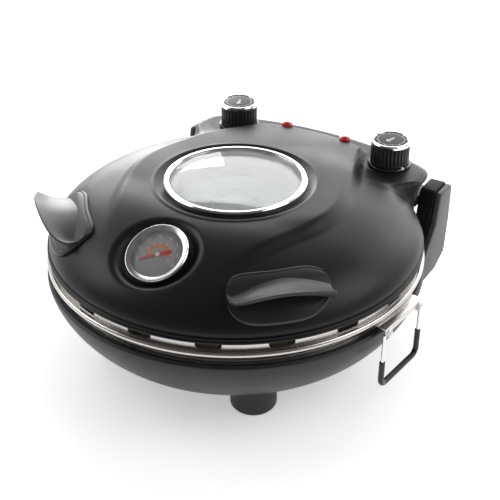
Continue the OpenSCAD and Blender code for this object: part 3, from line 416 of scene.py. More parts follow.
def topZ(r, a):
    x, y = r * math.cos(a), r * math.sin(a)
    dome = domeZ(min(r, lid["domeR"] - 1))
    base = mix(dome, smoothMax(dome, lid["shelfZ"], 4), consoleShare(a))
    soft = 14 - 6 * ramp((y - 60) / 60)
    share = 1 - ramp(shieldGap(x, y) / soft)
    lift = lid["shieldStep"] * ramp((y + 140) / 75) + 10 * ramp((y + 50) / 80)
    raised = smoothMin(plateZ, domeZ(math.hypot(x, y)) + lift, 2)
    shield = smoothMin(raised, plateZ - lid["consoleDrop"] * (y - lid["slopeFrom"]), 2)
    level = 1 - ramp((math.hypot(abs(x) - knob["x"], y - knob["y"]) - seatR - 5) / 5)
    return mix(base + share * max(0.0, shield - base), lid["shelfZ"], level)


# Thermometer and the dish round it, each in its own tilted place
thermometer = {"y": 122.7, "tilt": 29.6, "bezelR": 28.0, "canR": 25.5, "rest": 214.0}
thermZ = topZ(thermometer["y"], -math.pi / 2) - 1.6
atThermometer = tilted(0, -thermometer["y"], thermZ, thermometer["tilt"])
dish = {"y": thermometer["y"] - 1.5, "tilt": thermometer["tilt"] - 8, "floor": -6.0, "r": 30.0, "soft": 4.0,
        "farR": 60.0}
dishZ = topZ(thermometer["y"], -math.pi / 2) - 4
atDish = tilted(0, -dish["y"], dishZ, dish["tilt"])
fromDish = atDish.inverted()


def pressDish(point, below=0.0):
    local = fromDish @ point
    r = math.hypot(local.x, local.y)
    if r > dish["farR"]:
        return point
    surface = dish["floor"] + max(0.0, r - dish["r"]) - below
    local.z = softMin(local.z, surface, dish["soft"])
    return atDish @ local


def lidLine(a):
    part, reach = consoleShare(a), topReach(a)
    edge = reach - 7 * part
    rim = topZ(edge, a)
    under = min(reach - 2, lid["underX"] / max(abs(math.cos(a)), 0.05))
    skirtR, foot, low = lid["skirtR"], lid["domeR"] - 0.4, lid["edgeZ"]
    skirt = [(skirtR - 0.5, low), (skirtR, low + 0.4), (skirtR, low + 1.8), (skirtR - 0.4, low + 2.2),
             (skirtR - 1.3, low + 2.4), (skirtR - 1.5, low + 2.8), (skirtR - 1.2, low + 3.1),
             (skirtR - 0.5, low + 3.3), (skirtR - 0.3, low + 3.7), (skirtR - 0.3, low + 4.3),
             (skirtR - 0.7, low + 4.8), (foot - 0.4, low + 5.1)]
    side = softLine([(foot - 0.4, low + 5.1), (mix(foot, skirtR - 0.5, part), mix(low + 6, low + 15, part)),
                     (mix(foot - 0.2, under, part), mix(low + 7, rim - 11.5, part)),
                     (mix(foot - 0.4, reach, part), mix(low + 8, rim - 6, part)),
                     (mix(foot - 0.6, reach - 2, part), mix(topZ(foot - 0.6, a), rim - 1.8, part)),
                     (edge - 1.3, topZ(edge - 1.3, a))], 4)
    top = []
    for i in range(lid["ringsUp"] + 1):
        r = mix(edge - 2, lid["recessOut"], i / lid["ringsUp"])
        top.append((r, topZ(r, a)))
    well = [(75.0, plateZ - 0.02), (74.0, plateZ - 0.15), (73.2, plateZ - 0.5), (72.0, plateZ - 1.1),
            (70.0, plateZ - 1.95), (68.0, plateZ - 2.75), (67.0, plateZ - 3.0), (lid["holeR"] - 3, plateZ - 3.0)]
    outer = [Vector(point) for point in skirt[:-1] + [tuple(point) for point in side] + top + well]
    inner = []
    picks = [len(outer) - 1, len(outer) - 6] + list(range(len(outer) - 9, len(skirt) + 8, -6))
    for i in picks:
        along = (outer[min(i + 1, len(outer) - 1)] - outer[i - 1]).normalized()
        step = Vector((along.y, -along.x)) * lid["wall"]
        inner.append(outer[i] - (Vector((0, lid["wall"])) if i == len(outer) - 1 else step))
    inner += [Vector((skirtR - lid["wall"], low + 4.0)), Vector((skirtR - lid["wall"], low))]
    return outer, inner


lines = []
for turn in range(lid["turns"]):
    a = math.tau * turn / lid["turns"] - math.pi / 2
    lines.append([pressDish(Vector((p.x * math.cos(a), p.x * math.sin(a), p.y)), below)
                  for line, below in zip(lidLine(a), (0.0, lid["wall"])) for p in line])
ringCount = len(lines[0])
lidMesh = wrapGrid(ringCount, lid["turns"], lambda column, row: lines[row % lid["turns"]][column % ringCount])
addPiece(lidMesh, "lidShell", "lid", "lidPaint", ["lid_shell"], sharp=60)
print("lid shaped with", ringCount, "rings")


# Bowl with its rolled lip
bowl = {"lipZ": -13.0, "depth": 70.0, "floorR": 110.0, "lipR": 177.0, "power": 1.55, "steps": 40, "wall": 2.4}


def bowlPoint(turn, out):
    c, s = max(math.cos(turn), 0.0), max(math.sin(turn), 0.0)
    return (bowl["floorR"] + (bowl["lipR"] - bowl["floorR"] + out) * c ** (2 / bowl["power"]),
            bowl["lipZ"] - (bowl["depth"] + out) * s ** (2 / bowl["power"]))


bowlTurns = [math.pi / 2 * i / bowl["steps"] for i in range(bowl["steps"] + 1)]
lipRound = [(bowl["lipR"] - 2.4 + 2.4 * math.cos(t), bowl["lipZ"] + 2.4 * math.sin(t)) for t in
            [math.radians(angle) for angle in range(180, -1, -15)]]
bowlLine = ([(0, bowl["lipZ"] - bowl["depth"] + bowl["wall"])]
            + [bowlPoint(t, -bowl["wall"]) for t in reversed(bowlTurns)]
            + lipRound + [bowlPoint(t, 0.0) for t in bowlTurns[1:]] + [(0, bowl["lipZ"] - bowl["depth"])])
addPiece(lathe(bowlLine, 192), "bowl", "base", "bowlPaint", ["base_bowl"])
shelfLine = [(162, -18.1), (174.5, -18.1), (174.5, -15.7), (162, -15.7)]
addPiece(lathe(shelfLine, 128, True), "bowlShelf", "base", "bowlPaint")


def bowlHeight(r):
    span = max(r - bowl["floorR"], 0.0) / (bowl["lipR"] - bowl["floorR"])
    return bowl["lipZ"] - bowl["depth"] * (1 - min(span, 1.0) ** bowl["power"]) ** (1 / bowl["power"])


# Feet: rounded pucks whose tops follow the bowl
foot = {"x": 74.0, "y": 88.5, "r": 21.0, "floor": -beadZ}
low, r = foot["floor"], foot["r"]
footLine = roundCorners([(0, low), (r - 2.4, low), (r, low + 3), (r, -55), (0, -55)], [0, 1.8, 2.6, 0, 0], 5, False)
feet = []
for sx in (-1, 1):
    for sy in (-1, 1):
        shape = lathe(footLine, 64)
        bmesh.ops.translate(shape, verts=shape.verts, vec=(sx * foot["x"], sy * foot["y"], 0))
        for vert in shape.verts:
            if vert.co.z > -60:
                vert.co.z = bowlHeight(math.hypot(vert.co.x, vert.co.y)) + 1.2
        feet.append(shape)
addPiece(joined(feet), "feet", "base", "foot", ["feet"])
print("base ready")

# Stone tray: ledge, wall, rolled bead and a notched band
tray = {"bandR": 171.0, "beadR": 176.0, "tube": 2.6, "notches": 18, "notchW": 22.0, "notchD": 6.5, "corner": 2.5,
        "start": -5.0, "sheet": 0.8}
notchHalf = math.degrees(tray["notchW"] / 2 / tray["bandR"])
cornerTurn = math.degrees(tray["corner"] / tray["bandR"])
notchFloor = bandRise - tray["notchD"]
halfNotch = [(-notchHalf - 0.25, bandRise), (-notchHalf - 0.04, bandRise - 0.25), (-notchHalf, bandRise - 1.0)]
for t in (0, 22.5, 45, 67.5, 90):
    halfNotch.append((-notchHalf + cornerTurn * (1 - math.cos(math.radians(t))) + 0.002 * t / 90,
                      notchFloor + tray["corner"] * (1 - math.sin(math.radians(t)))))
notch = halfNotch + [((notchHalf - cornerTurn) * (k / 2 - 1), notchFloor) for k in range(1, 4)]
notch += [(-turn, high) for turn, high in reversed(halfNotch)]
spare = 360 / tray["notches"] - 2 * notchHalf - 0.5
notch += [(notchHalf + 0.25 + spare * k / 6, bandRise) for k in range(1, 6)]
columns = [(tray["start"] + n * 360 / tray["notches"] + turn, high)
           for n in range(tray["notches"]) for turn, high in notch]
beadRound = [(tray["beadR"] - tray["tube"] + tray["tube"] * math.cos(math.radians(t)),
              tray["tube"] * math.sin(math.radians(t)))
             for t in range(-150, 151, 20)]
bandR, bandIn, overRim = tray["bandR"], tray["bandR"] - tray["sheet"], 99.0  # the columns cut overRim down
wallLine = ([(147.0, -14.3), (163.2, -14.3), (164.6, -13.7), (165.4, -12.2), (165.4, -5.4), (166.2, -4.6),
             (bandIn, -2.4)]
            + beadRound + [(bandR, 1.9), (bandR, 3.2), (bandR, overRim), (bandIn, overRim), (bandIn, 3.2),
                           (bandIn, -1.2), (165.2, -4.2), (164.6, -5.0), (164.6, -11.9), (163.9, -13.0),
                           (162.8, -13.5), (147.0, -13.5)])


def trayPlace(column, row):
    turn, high = columns[column % len(columns)]
    r, z = wallLine[row % len(wallLine)]
    return polar(r, turn, min(z, high))


addPiece(wrapGrid(len(columns), len(wallLine), trayPlace), "stoneTray", "tray", "steel",
         ["stone_tray"], 40)
stoneLine = roundCorners([(0, -13.2), (155, -13.2), (155, -1.2), (0, -1.2)], [0, 1.6, 2.2, 0], 4, False)
addPiece(lathe(stoneLine, 144), "pizzaStone", "tray", "stone", ["pizza_stone"])

# Brackets under the bead, and the bails that hang from them
bail = {"rest": -6.0, "r": 182.0, "z": -8.5, "wire": 1.5, "width": 60.0, "drop": 54.0, "bend": 7.0, "grip": 2.6,
        "climb": 26.0, "ears": 25.0}
for sideName, turned in (("right", bail["rest"]), ("left", bail["rest"] + 180)):
    atBail = spun(turned)
    half = bail["width"] / 2
    outline = (roundCorners([(171.0, -2.95), (183.4, -2.95), (183.4, -8.0)], [0, 1.2, 0], 4, False)
               + roundCorners([(182.0, -8.0), (182.0, -4.4), (171.0, -4.4)], [0, 0.6, 0], 3, False))
    flange = slab(outline, -half, half, 0.25, 2)
    flange.transform(Matrix(((1, 0, 0, 0), (0, 0, 1, 0), (0, 1, 0, 0), (0, 0, 0, 1))))
    ears = [flange]
    earLine = roundCorners([(0, -2.5), (3.9, -2.5), (3.9, 2.5), (0, 2.5)], [0, 0.5, 0.5, 0], 3, False)
    for s in (-1, 1):
        ear = lathe(earLine, 32)
        ear.transform(tilted(bail["r"], s * bail["ears"], bail["z"], 90))
        ears.append(ear)
    addPiece(joined(ears), sideName + "TrayBracket", "tray", "steel", ["tray_bracket_" + sideName],
             place=atBail)
    bend, drop, climb = bail["bend"], bail["drop"], bail["climb"]
    wirePath = roundCorners([(0, -half + 7.5, 0), (0, -half, 0), (0, -half, -drop), (0, half, -drop), (0, half, 0),
                             (0, half - 7.5, 0)], [0, 1.6, bend, bend, 1.6, 0], 8, False)
    wire = tube(wirePath, bail["wire"])
    hangAt = atBail @ Matrix.Translation((bail["r"], 0, bail["z"]))
    addPiece(wire, sideName + "Bail", sideName + "_bail", "chrome", ["bail_" + sideName],
             place=hangAt)
    sleeveLine = roundCorners([(0, -half, climb - drop), (0, -half, -drop), (0, half, -drop),
                               (0, half, climb - drop)], [0, bend, bend, 0], 8, False)
    start, end = sleeveLine[0], sleeveLine[-1]
    inward = Vector((0, 0, -0.6))
    sleeve = tube([start, start + inward] + sleeveLine[1:-1] + [end + inward, end], bail["grip"])
    for vert in sleeve.verts:  # the sleeve's ends are eased down to the wire
        for tip in (start, end):
            if abs(vert.co.z - tip.z) < 0.1 and abs(vert.co.y - tip.y) < 4:
                vert.co = tip + (vert.co - tip) * 0.72
    addPiece(sleeve, sideName + "BailGrip", sideName + "_bail", "gloss", ["bail_grip_" + sideName],
             place=hangAt)
print("tray ready")

# Window: chrome ring, domed outer glass, grey well and a pale pane low in it; the pane's pale colour is painted
# reflection and painted light, standing in for the white surroundings mirrored in the glass and the lit inside
window = {"ringR": 65.7, "ringW": 5.2, "crown": 4.0, "glass": 3.0}
ringZ = plateZ - 2.7
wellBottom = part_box("window_well")[0].z * 1000 - beadZ + 2
ringIn = window["ringR"] - window["ringW"]
ringLine = roundCorners([(ringIn, ringZ), (window["ringR"], ringZ), (window["ringR"], ringZ + 3.4),
                         (window["ringR"] - 1.2, ringZ + 4.6), (ringIn + 1.6, ringZ + 4.6), (ringIn, ringZ + 4.0)],
                        [0.3, 0.3, 0.8, 0.9, 0.8, 0.5], 4)
addPiece(lathe(ringLine, 192, True), "windowRing", "lid", "chrome", ["window_ring"])
glassR = ringIn - 0.3
above = [(glassR * i / 16, ringZ + window["glass"] + window["crown"] * (1 - (i / 16) ** 2)) for i in range(17)]
under = [(r, z - window["glass"]) for r, z in reversed(above)]
addPiece(lathe(above + under, 144), "windowGlass", "lid", "glass", ["window_glass"])
wellR = lid["holeR"] - 0.3
wellLine = [(wellR - 1.6, wellBottom), (wellR - 1.6, wellBottom + 6), (wellR - 2.0, wellBottom + 6.4),
            (wellR - 1.6, wellBottom + 6.8), (wellR - 1.6, wellBottom + 14), (wellR - 2.2, wellBottom + 14.5),
            (wellR - 1.6, wellBottom + 15), (wellR - 1.6, ringZ - 0.3), (wellR, ringZ - 0.3), (wellR, wellBottom - 2),
            (wellR - 6, wellBottom - 2), (wellR - 6, wellBottom)]
addPiece(lathe(wellLine, 144, True), "windowWell", "lid", "well", ["window_well"])
paneR = wellR - 1.9
paneZ = wellBottom + 0.3
paneLine = [(0, paneZ + 3.0), (20.5, paneZ + 3.0), (21.2, paneZ + 4.0), (22.6, paneZ + 4.4), (24.0, paneZ + 4.0),
            (24.7, paneZ + 3.0), (paneR - 9, paneZ + 3.0), (paneR, paneZ + 3.4), (paneR, paneZ), (0, paneZ)]
# The pane's pale colour is painted reflection and painted light seen through the window
addPiece(lathe(paneLine, 144), "innerPane", "lid", "paintedPaneLight", ["inner_glass"])
print("window ready")

# Wing handles: a plate that follows the dome, and a scoop that grows out of a bowed crease on it
wing = {"rear": -27.2, "front": -60.6, "topR": 133.5, "lowR": 169.6, "midR": 150.0, "thick": 3.5, "middle": -43.0,
        "creaseR": 140.7, "bowFront": 7.5, "bowRear": 13.0, "tipR": 181.0, "tipZ": 59.5, "steps": 84}


def domeNormal(r):
    slope = Vector((1.0, (domeZ(r + 0.5) - domeZ(r - 0.5))))
    return Vector((-slope.y, slope.x)).normalized()


def onDome(r, out):
    return Vector((r, domeZ(r))) + domeNormal(r) * out


def plateSection(u):
    turn = mix(wing["rear"], wing["front"], u)
    power = mix(3.0, 6.0, u)
    full = max(0.0, 1 - abs(2 * u - 1) ** power) ** (1 / 2.6)
    high = mix(wing["midR"], wing["topR"], full)
    low = mix(wing["midR"], wing["lowR"], max(0.0, 1 - abs(2 * u - 1) ** (power - 0.6)) ** (1 / 2.2))
    edge = min(1.0, full * 2)
    thick = wing["thick"] * min(1.0, full * 3)
    tops = [(0.0, 0.2), (0.0, thick * 0.55), (0.5, thick * 0.85), (1.3, thick), (2.4, thick),
            (3.0, thick - 0.3 * edge), (3.6, thick)]
    points = [onDome(high + step * edge, out) for step, out in tops]
    points += [onDome(mix(high, low, t), thick) for t in (0.3, 0.4, 0.5, 0.6, 0.7, 0.8)]
    points += [onDome(low - step * edge, out) for step, out in reversed(tops)]
    points += [onDome(mix(low, high, t), 0.2) for t in (0.25, 0.5, 0.75)]
    return [polar(p.x, turn, p.y) for p in points]


def wingSection(u):
    rootTurn, tipTurn = mix(-28.0, -59.6, u), mix(-31.6, -60.2, u)
    aside = (rootTurn - wing["middle"]) / 15
    crease = wing["creaseR"] + (wing["bowRear"] if aside > 0 else wing["bowFront"]) * abs(aside) ** 1.7
    root, low = onDome(crease, wing["thick"] - 0.6), onDome(crease + 7, wing["thick"] - 0.6)
    shut = max(0.0, 1 - u ** 12) ** 0.5
    far = Vector((wing["tipR"] - 0.42 * max(0.0, -38 - tipTurn), wing["tipZ"] - 0.05 * (tipTurn + 42) ** 2))
    tip = root + (far - root) * shut
    sag = 3.6 * shut
    thick = mix(1.2, 3.2, shut)
    line = softLine([root, mix(root, tip, 0.25) - Vector((0, sag * 0.9)), mix(root, tip, 0.65) - Vector((0, sag)),
                     tip], 5)
    under = softLine([tip - Vector((0.4, thick * 0.8)), mix(low, tip, 0.65) - Vector((0, sag + thick * 0.9)),
                      mix(low, tip, 0.25) - Vector((0, sag * 0.9)), low], 5)
    nose = [tip + Vector((0.7, -0.25)), tip + Vector((0.9, -thick * 0.4)), tip + Vector((0.4, -thick * 0.72))]
    reach = max((tip - root).length, 1.0)
    points = line + nose + under
    turns = [mix(rootTurn, tipTurn, max(0.0, min(1.0, (p - root).length / reach))) for p in points]
    return [polar(p.x, turn, p.y) for p, turn in zip(points, turns)]


for sideName, s in bothSides:
    for pieceName, section, finish, replaced in (("HandlePlate", plateSection, "plastic", ["handle_" + sideName]),
                                                 ("HandleWing", wingSection, "grip", [])):
        sections = [section(min(0.999, max(0.001, step / wing["steps"]))) for step in range(wing["steps"] + 1)]
        count = len(sections[0])
        shape = capped(wrapGrid(count, wing["steps"], lambda column, row: sections[row][column % count]))
        if s < 0:
            mirrored(shape)
        addPiece(shape, sideName + pieceName, "lid", finish, replaced, 40)
print("handles ready")

# Knobs on their seats
for sideName, s in bothSides:
    atKnob = Matrix.Translation((s * knob["x"], knob["y"], 0))
    body = sideName + "_knob"
    seatZ = lid["shelfZ"] + 0.3
    seatTop = seatZ + 2.6
    seatLine = roundCorners([(0, seatZ), (seatR, seatZ), (seatR, seatZ + 1.5), (seatR - 1.3, seatTop), (0, seatTop)],
                            [0, 0.2, 0.6, 0.6, 0], 4, False)
    bead = bmesh.new()
    bmesh.ops.create_uvsphere(bead, u_segments=24, v_segments=16, radius=1.7)
    bmesh.ops.translate(bead, verts=bead.verts, vec=polar(seatR - 1.6, knob["markA"], seatZ + 2.0))
    addPiece(lathe(seatLine, 96), sideName + "KnobSeat", "lid", "gloss",
             ["knob_seat_" + sideName], place=atKnob)
    addPiece(bead, sideName + "KnobMark", "lid", "print", place=atKnob)
    base, skirtKnobR = seatZ + 2.9, knob["r"] - 0.6
    top = knob["top"] - knob["ringH"] - 0.3
    bodyLine = [(0, base), (skirtKnobR - 0.6, base), (skirtKnobR, base + 0.5), (skirtKnobR, base + 1.6),
                (skirtKnobR - 0.1, base + 2.0), (skirtKnobR - 0.1, base + 2.6), (skirtKnobR - 0.1, top - 0.6),
                (skirtKnobR - 0.4, top), (0, top)]
    fluted = lathe(bodyLine, knob["flutes"] * 10)
    for vert in fluted.verts:
        r = math.hypot(vert.co.x, vert.co.y)
        if r > skirtKnobR - 1 and vert.co.z > base + 2.3:
            phase = (math.atan2(vert.co.y, vert.co.x) / math.tau * knob["flutes"]) % 1.0
            cut = 1.15 * max(0.0, math.cos((phase - 0.5) * math.tau)) ** 1.4 if abs(phase - 0.5) < 0.25 else 0.0
            vert.co.x *= (r - cut) / r
            vert.co.y *= (r - cut) / r
    addPiece(fluted, sideName + "KnobBody", body, "plastic", ["knob_" + sideName], 50, atKnob)
    z = knob["top"]
    ringLine = roundCorners([(14.4, z - 4.0), (19.3, z - 4.0), (19.6, z - 3.6), (19.6, z - 1.4), (18.6, z - 0.1),
                             (17.2, z - 0.1), (16.4, z - 1.0), (14.4, z - 1.2)],
                            [0, 0.2, 0.2, 0.7, 0.5, 0.5, 0.3, 0], 4)
    addPiece(lathe(ringLine, 128, True), sideName + "KnobRing", body, "chrome", ["knob_ring_" + sideName],
             place=atKnob)
    faceLine = [(0, z - 0.55), (14.6, z - 0.55), (16.1, z - 0.7), (16.3, z - 1.0), (16.3, z - 1.3), (0, z - 1.3)]
    addPiece(lathe(faceLine, 96), sideName + "KnobFace", body, "face",
             ["knob_face_" + sideName], place=atKnob)
    marks = [lathe([(12.7, z - 0.6), (13.0, z - 0.6), (13.0, z - 0.5), (12.7, z - 0.5)], 96, True)]
    for k in range(11):
        tick = slab([(13.3, -0.2), (15.4, -0.2), (15.4, 0.2), (13.3, 0.2)], z - 0.7, z - 0.5)
        tick.transform(spun(-240 + k * 30))
        marks.append(tick)
    # Small thermometer sign on the face
    signLine = roundCorners([(-1.1, -2.4), (-1.1, 4.6), (1.1, 4.6), (1.1, -2.4)], [0, 1.0, 1.0, 0], 5)
    hollowLine = roundCorners([(-0.45, -2.6), (-0.45, 3.9), (0.45, 3.9), (0.45, -2.6)], [0, 0.4, 0.4, 0], 4)
    sign, hollow = slab(signLine, z - 0.6, z - 0.5), slab(hollowLine, z - 0.58, z - 0.46)
    bulb = lathe([(0, z - 0.6), (2.1, z - 0.6), (2.1, z - 0.49), (0, z - 0.49)], 32)
    bmesh.ops.translate(bulb, verts=bulb.verts, vec=(0, -3.8, 0))
    heart = lathe([(0, z - 0.6), (1.0, z - 0.6), (1.0, z - 0.45), (0, z - 0.45)], 24)
    bmesh.ops.translate(heart, verts=heart.verts, vec=(0, -3.8, 0))
    turnSign = spun(-18 if s > 0 else 22)
    for part in (sign, bulb, hollow, heart):
        part.transform(turnSign)
    addPiece(joined(marks + [sign, bulb]), sideName + "KnobPrint", body, "print", place=atKnob)
    addPiece(joined([hollow, heart]), sideName + "KnobSign", body, "gloss", place=atKnob)
print("knobs ready")

# Pilot lamps on the console
lamp = {"x": 33.6, "y": 152.7, "r": 6.0, "dome": 3.6, "edge": 1.8}
lampZ = topZ(math.hypot(lamp["x"], lamp["y"]), math.atan2(lamp["y"], lamp["x"]))
lensLine = [(0, -9), (4.5, -9), (4.5, 0.0), (5.7, 0.0), (lamp["r"], 0.3), (lamp["r"], lamp["edge"])]
for t in range(10, 91, 10):
    lensLine.append((lamp["r"] * math.cos(math.radians(t)), lamp["edge"] + lamp["dome"] * math.sin(math.radians(t))))
for sideName, s in bothSides:
    atLamp = tilted(s * lamp["x"], lamp["y"], lampZ, -math.degrees(math.atan(lid["consoleDrop"])))
    addPiece(lathe(lensLine, 48), sideName + "Lamp", "lid", "lens", ["lamp_" + sideName],
             place=atLamp)
print("lamps ready")

# Thermometer: satin bezel with a sloping inner wall over a grey dial
bezelR, canR = thermometer["bezelR"], thermometer["canR"]
bezelLine = roundCorners([(bezelR - 2.4, -4.6), (bezelR - 0.7, -4.2), (bezelR, -3.4), (bezelR, -0.9),
                          (bezelR - 0.7, 0.0), (bezelR - 1.5, 0.0), (bezelR - 5.6, -1.45), (bezelR - 3.0, -1.45)],
                         [0, 0.4, 0.6, 0.6, 0.5, 0.4, 0.1, 0], 4)
addPiece(lathe(bezelLine, 160, True), "thermometerBezel", "lid", "satin", ["thermometer_bezel"],
         place=atThermometer)
canLine = roundCorners([(0, -13), (canR, -13), (canR, -3.5), (canR - 1, -3.5), (canR - 1, -5.0), (0, -5.0)],
                       [0, 1, 0.2, 0.2, 0, 0], 3, False)
stem = lathe([(0, -33), (3.5, -33), (3.5, -12), (0, -12)], 32)
addPiece(joined([lathe(canLine, 96), stem]), "thermometerCan", "lid", "plastic",
         ["thermometer_can"], place=atThermometer)
dialTop = -3.9
dialLine = [(0, dialTop), (23.9, dialTop), (24.2, dialTop - 0.2), (24.2, dialTop - 0.8), (0, dialTop - 0.8)]
addPiece(lathe(dialLine, 96), "thermometerDial", "lid", "dial", ["thermometer_dial"],
         place=atThermometer)
collarLine = [(23.2, dialTop - 0.1), (24.3, dialTop - 0.1), (24.3, -2.6), (23.5, -2.6)]
addPiece(lathe(collarLine, 96, True), "thermometerCollar", "lid", "chrome", place=atThermometer)
addPiece(lathe([(0, -1.5), (23.8, -1.5), (23.8, -2.5), (0, -2.5)], 96), "thermometerGlass", "lid", "glass",
         ["thermometer_glass"], place=atThermometer)
prints = []
scaleDial = {"from": 211.0, "to": -16.0, "ticks": 35, "numbers": 8}
arc = {"from": 196.0, "to": 8.0, "in": 7.9, "out": 10.4, "steps": 40}
for k in range(scaleDial["ticks"] + 1):
    turn = mix(scaleDial["from"], scaleDial["to"], k / scaleDial["ticks"])
    inside = 13.6 if k % 5 == 0 else 14.2
    tick = slab([(inside, -0.14), (15.4, -0.14), (15.4, 0.14), (inside, 0.14)], dialTop - 0.05, dialTop + 0.06)
    tick.transform(spun(turn))
    prints.append(tick)


def numberMesh(text, size, where, turn):
    curve = bpy.data.curves.new("number", "FONT")
    curve.body = text
    curve.size = size
    curve.align_x, curve.align_y = "CENTER", "CENTER"
    curve.extrude = 0.04
    made = bpy.data.objects.new("number", curve)
    mesh = bpy.data.meshes.new_from_object(made)
    bm = bmesh.new()
    bm.from_mesh(mesh)
    bmesh.ops.remove_doubles(bm, verts=bm.verts, dist=1e-4)
    bm.transform(Matrix.Translation(where) @ spun(turn))
    bpy.data.objects.remove(made)
    bpy.data.curves.remove(curve)
    bpy.data.meshes.remove(mesh)
    return bm


def numberRow(start, end, r, size, first):  # numbers along a curve, each a multiple of the first
    row = []
    for k in range(scaleDial["numbers"]):
        turn = mix(start, end, k / (scaleDial["numbers"] - 1))
        row.append(numberMesh(str(first * (k + 1)), size, polar(r, turn, dialTop + 0.02), turn - 90))
    return row


addPiece(joined(prints + numberRow(scaleDial["from"], scaleDial["to"], 18.0, 2.5, 100)), "dialPrint", "lid",
         "print", place=atThermometer)

# Coloured arc on the dial, and the small numbers outside it
finishes["arc"] = bpy.data.materials.new("dial arc")
finishes["arc"].use_nodes = True
arcTree = finishes["arc"].node_tree
arcShader = arcTree.nodes["Principled BSDF"]
arcShader.inputs["Roughness"].default_value = 0.6
arcHeat = addNode(arcTree, "Attribute", attribute_name="heat")
arcRamp = addNode(arcTree, "ValToRGB")
arcRamp.color_ramp.elements[0].color = (0.8, 0.24, 0.03, 1)
arcRamp.color_ramp.elements[1].color = (0.72, 0.03, 0.02, 1)
linkUp(arcTree, (arcHeat.outputs["Fac"], arcRamp.inputs["Fac"]),
       (arcRamp.outputs["Color"], arcShader.inputs["Base Color"]))


def arcPlace(column, row):
    return polar(arc["in"] if row in (0, 1, 4) else arc["out"], mix(arc["from"], arc["to"], column / arc["steps"]),
                 dialTop + (0.05 if row in (1, 2) else -0.05))


arcPiece = addPiece(capped(wrapGrid(arc["steps"], 4, arcPlace)), "dialArc", "lid", "arc",
                    place=atThermometer)
heat = arcPiece.data.attributes.new("heat", "FLOAT", "POINT")
fromThermometer = (toRow @ atThermometer).inverted()
for i, vert in enumerate(arcPiece.data.vertices):
    local = fromThermometer @ vert.co
    turn = math.degrees(math.atan2(local.y, local.x)) % 360
    heat.data[i].value = max(0.0, min(1.0, (arc["from"] - turn) / (arc["from"] - arc["to"])))
addPiece(joined(numberRow(arc["from"], -10.0, 11.9, 1.7, 50)), "dialSmallPrint", "lid", "print",
         place=atThermometer)
needleLine = [(-12, -2.0), (-12.6, 0), (-12, 2.0), (0, 1.1), (16.4, 0.35), (17, 0), (16.4, -0.35), (0, -1.1)]
needle = slab(needleLine, dialTop + 0.15, dialTop + 0.7, 0.12, 2)
needle.transform(spun(thermometer["rest"]))
addPiece(needle, "thermometerNeedle", "needle", "needle", ["thermometer_needle"], place=atThermometer)
hub = lathe([(0, dialTop - 0.6), (1.0, dialTop - 0.6), (1.0, dialTop + 0.7), (1.9, dialTop + 0.72),
             (1.7, dialTop + 1.05), (1.0, dialTop + 1.25), (0, dialTop + 1.3)], 32)
addPiece(hub, "needleHub", "needle", "print", place=atThermometer)
print("thermometer ready")

# Hinge arms with their covers, drawn in side view and turned upright
arm = {"in": 125.0, "thick": 22.0, "cover": 6.0, "pivotY": 146.0, "pivotZ": -42.0, "reach": 28.5, "lean": 17.5}
py, pz = arm["pivotY"], arm["pivotZ"]
armLine = [(py - 10, 31), (py + 20, 31), (py + 21, -8), (py + 18, pz - 4), (py + 2, pz - 16), (py - 18, pz - 16),
           (py - arm["reach"], pz - 7), (py - arm["reach"], pz + 5), (py - 23, pz + 16), (py - 15.5, 0)]
armOutline = roundCorners(armLine, [5, 6, 5, 5, 6, 6, 5, 5, 6, 6], 6)
upright = Matrix(((0, 0, 1, 0), (1, 0, 0, 0), (0, 1, 0, 0), (0, 0, 0, 1)))


def shrunk(outline, by):
    out = []
    for i in range(len(outline)):
        along = (outline[(i + 1) % len(outline)] - outline[i - 1]).normalized()
        out.append(outline[i] + Vector((along.y, -along.x)) * by)
    return out


coverOut = arm["in"] + arm["thick"]
coverIn = coverOut - arm["cover"]
for sideName, s in bothSides:
    armBody = slab(armOutline, arm["in"], coverIn - 0.3, 1.6, 4)
    cover = slab(shrunk(armOutline, 1.2), coverIn, coverOut, 1.8, 4)
    for shape, pieceName, finish, slotName, node in (
            (armBody, "Arm", "armBody", "black_plastic", "hinge_arm_"),
            (cover, "ArmCover", "cover", "cover_plastic", "arm_cover_")):
        shape.transform(upright)
        for vert in shape.verts:  # the lower end reaches further forward on the outside
            outside = max(0.0, (vert.co.x - arm["in"]) / arm["thick"])
            vert.co.y -= arm["lean"] * outside * ramp((-8 - vert.co.z) / 27) * ramp((py + 12 - vert.co.y) / 26)
        if s < 0:
            mirrored(shape)
        addPiece(shape, sideName + pieceName, "lid", finish, [node + sideName], 40)
print("arms ready")

# CAD pieces that stay get their finish here
stays = {"steel": ["tray_rivets", "handle_screws", "hinge_pins", "foot_screws", "thermometer_nut", "lower_clips",
                   "upper_clips", "thermostat_left", "thermostat_right"],
         "sheet": ["base_reflector", "lid_liner"], "rod": ["lower_element", "upper_element"],
         "bowlPaint": ["hinge_lug_left", "hinge_lug_right"],
         "plastic": ["arm_bracket_left", "arm_bracket_right", "cable_gland"], "cover": ["arm_screws"]}
for finish, names in stays.items():
    for name in names:
        for slotPlace in nodes[name].material_slots:
            slotPlace.material = finishes[finish]

# Floor, backdrop and light
def seenBy(tree, rays):  # 1 for camera, glossy and transmission rays
    last = rays.outputs["Is Camera Ray"]
    for kind in ("Is Glossy Ray", "Is Transmission Ray"):
        either = addNode(tree, "Math", operation="MAXIMUM")
        linkUp(tree, (last, either.inputs[0]), (rays.outputs[kind], either.inputs[1]))
        last = either.outputs[0]
    return last


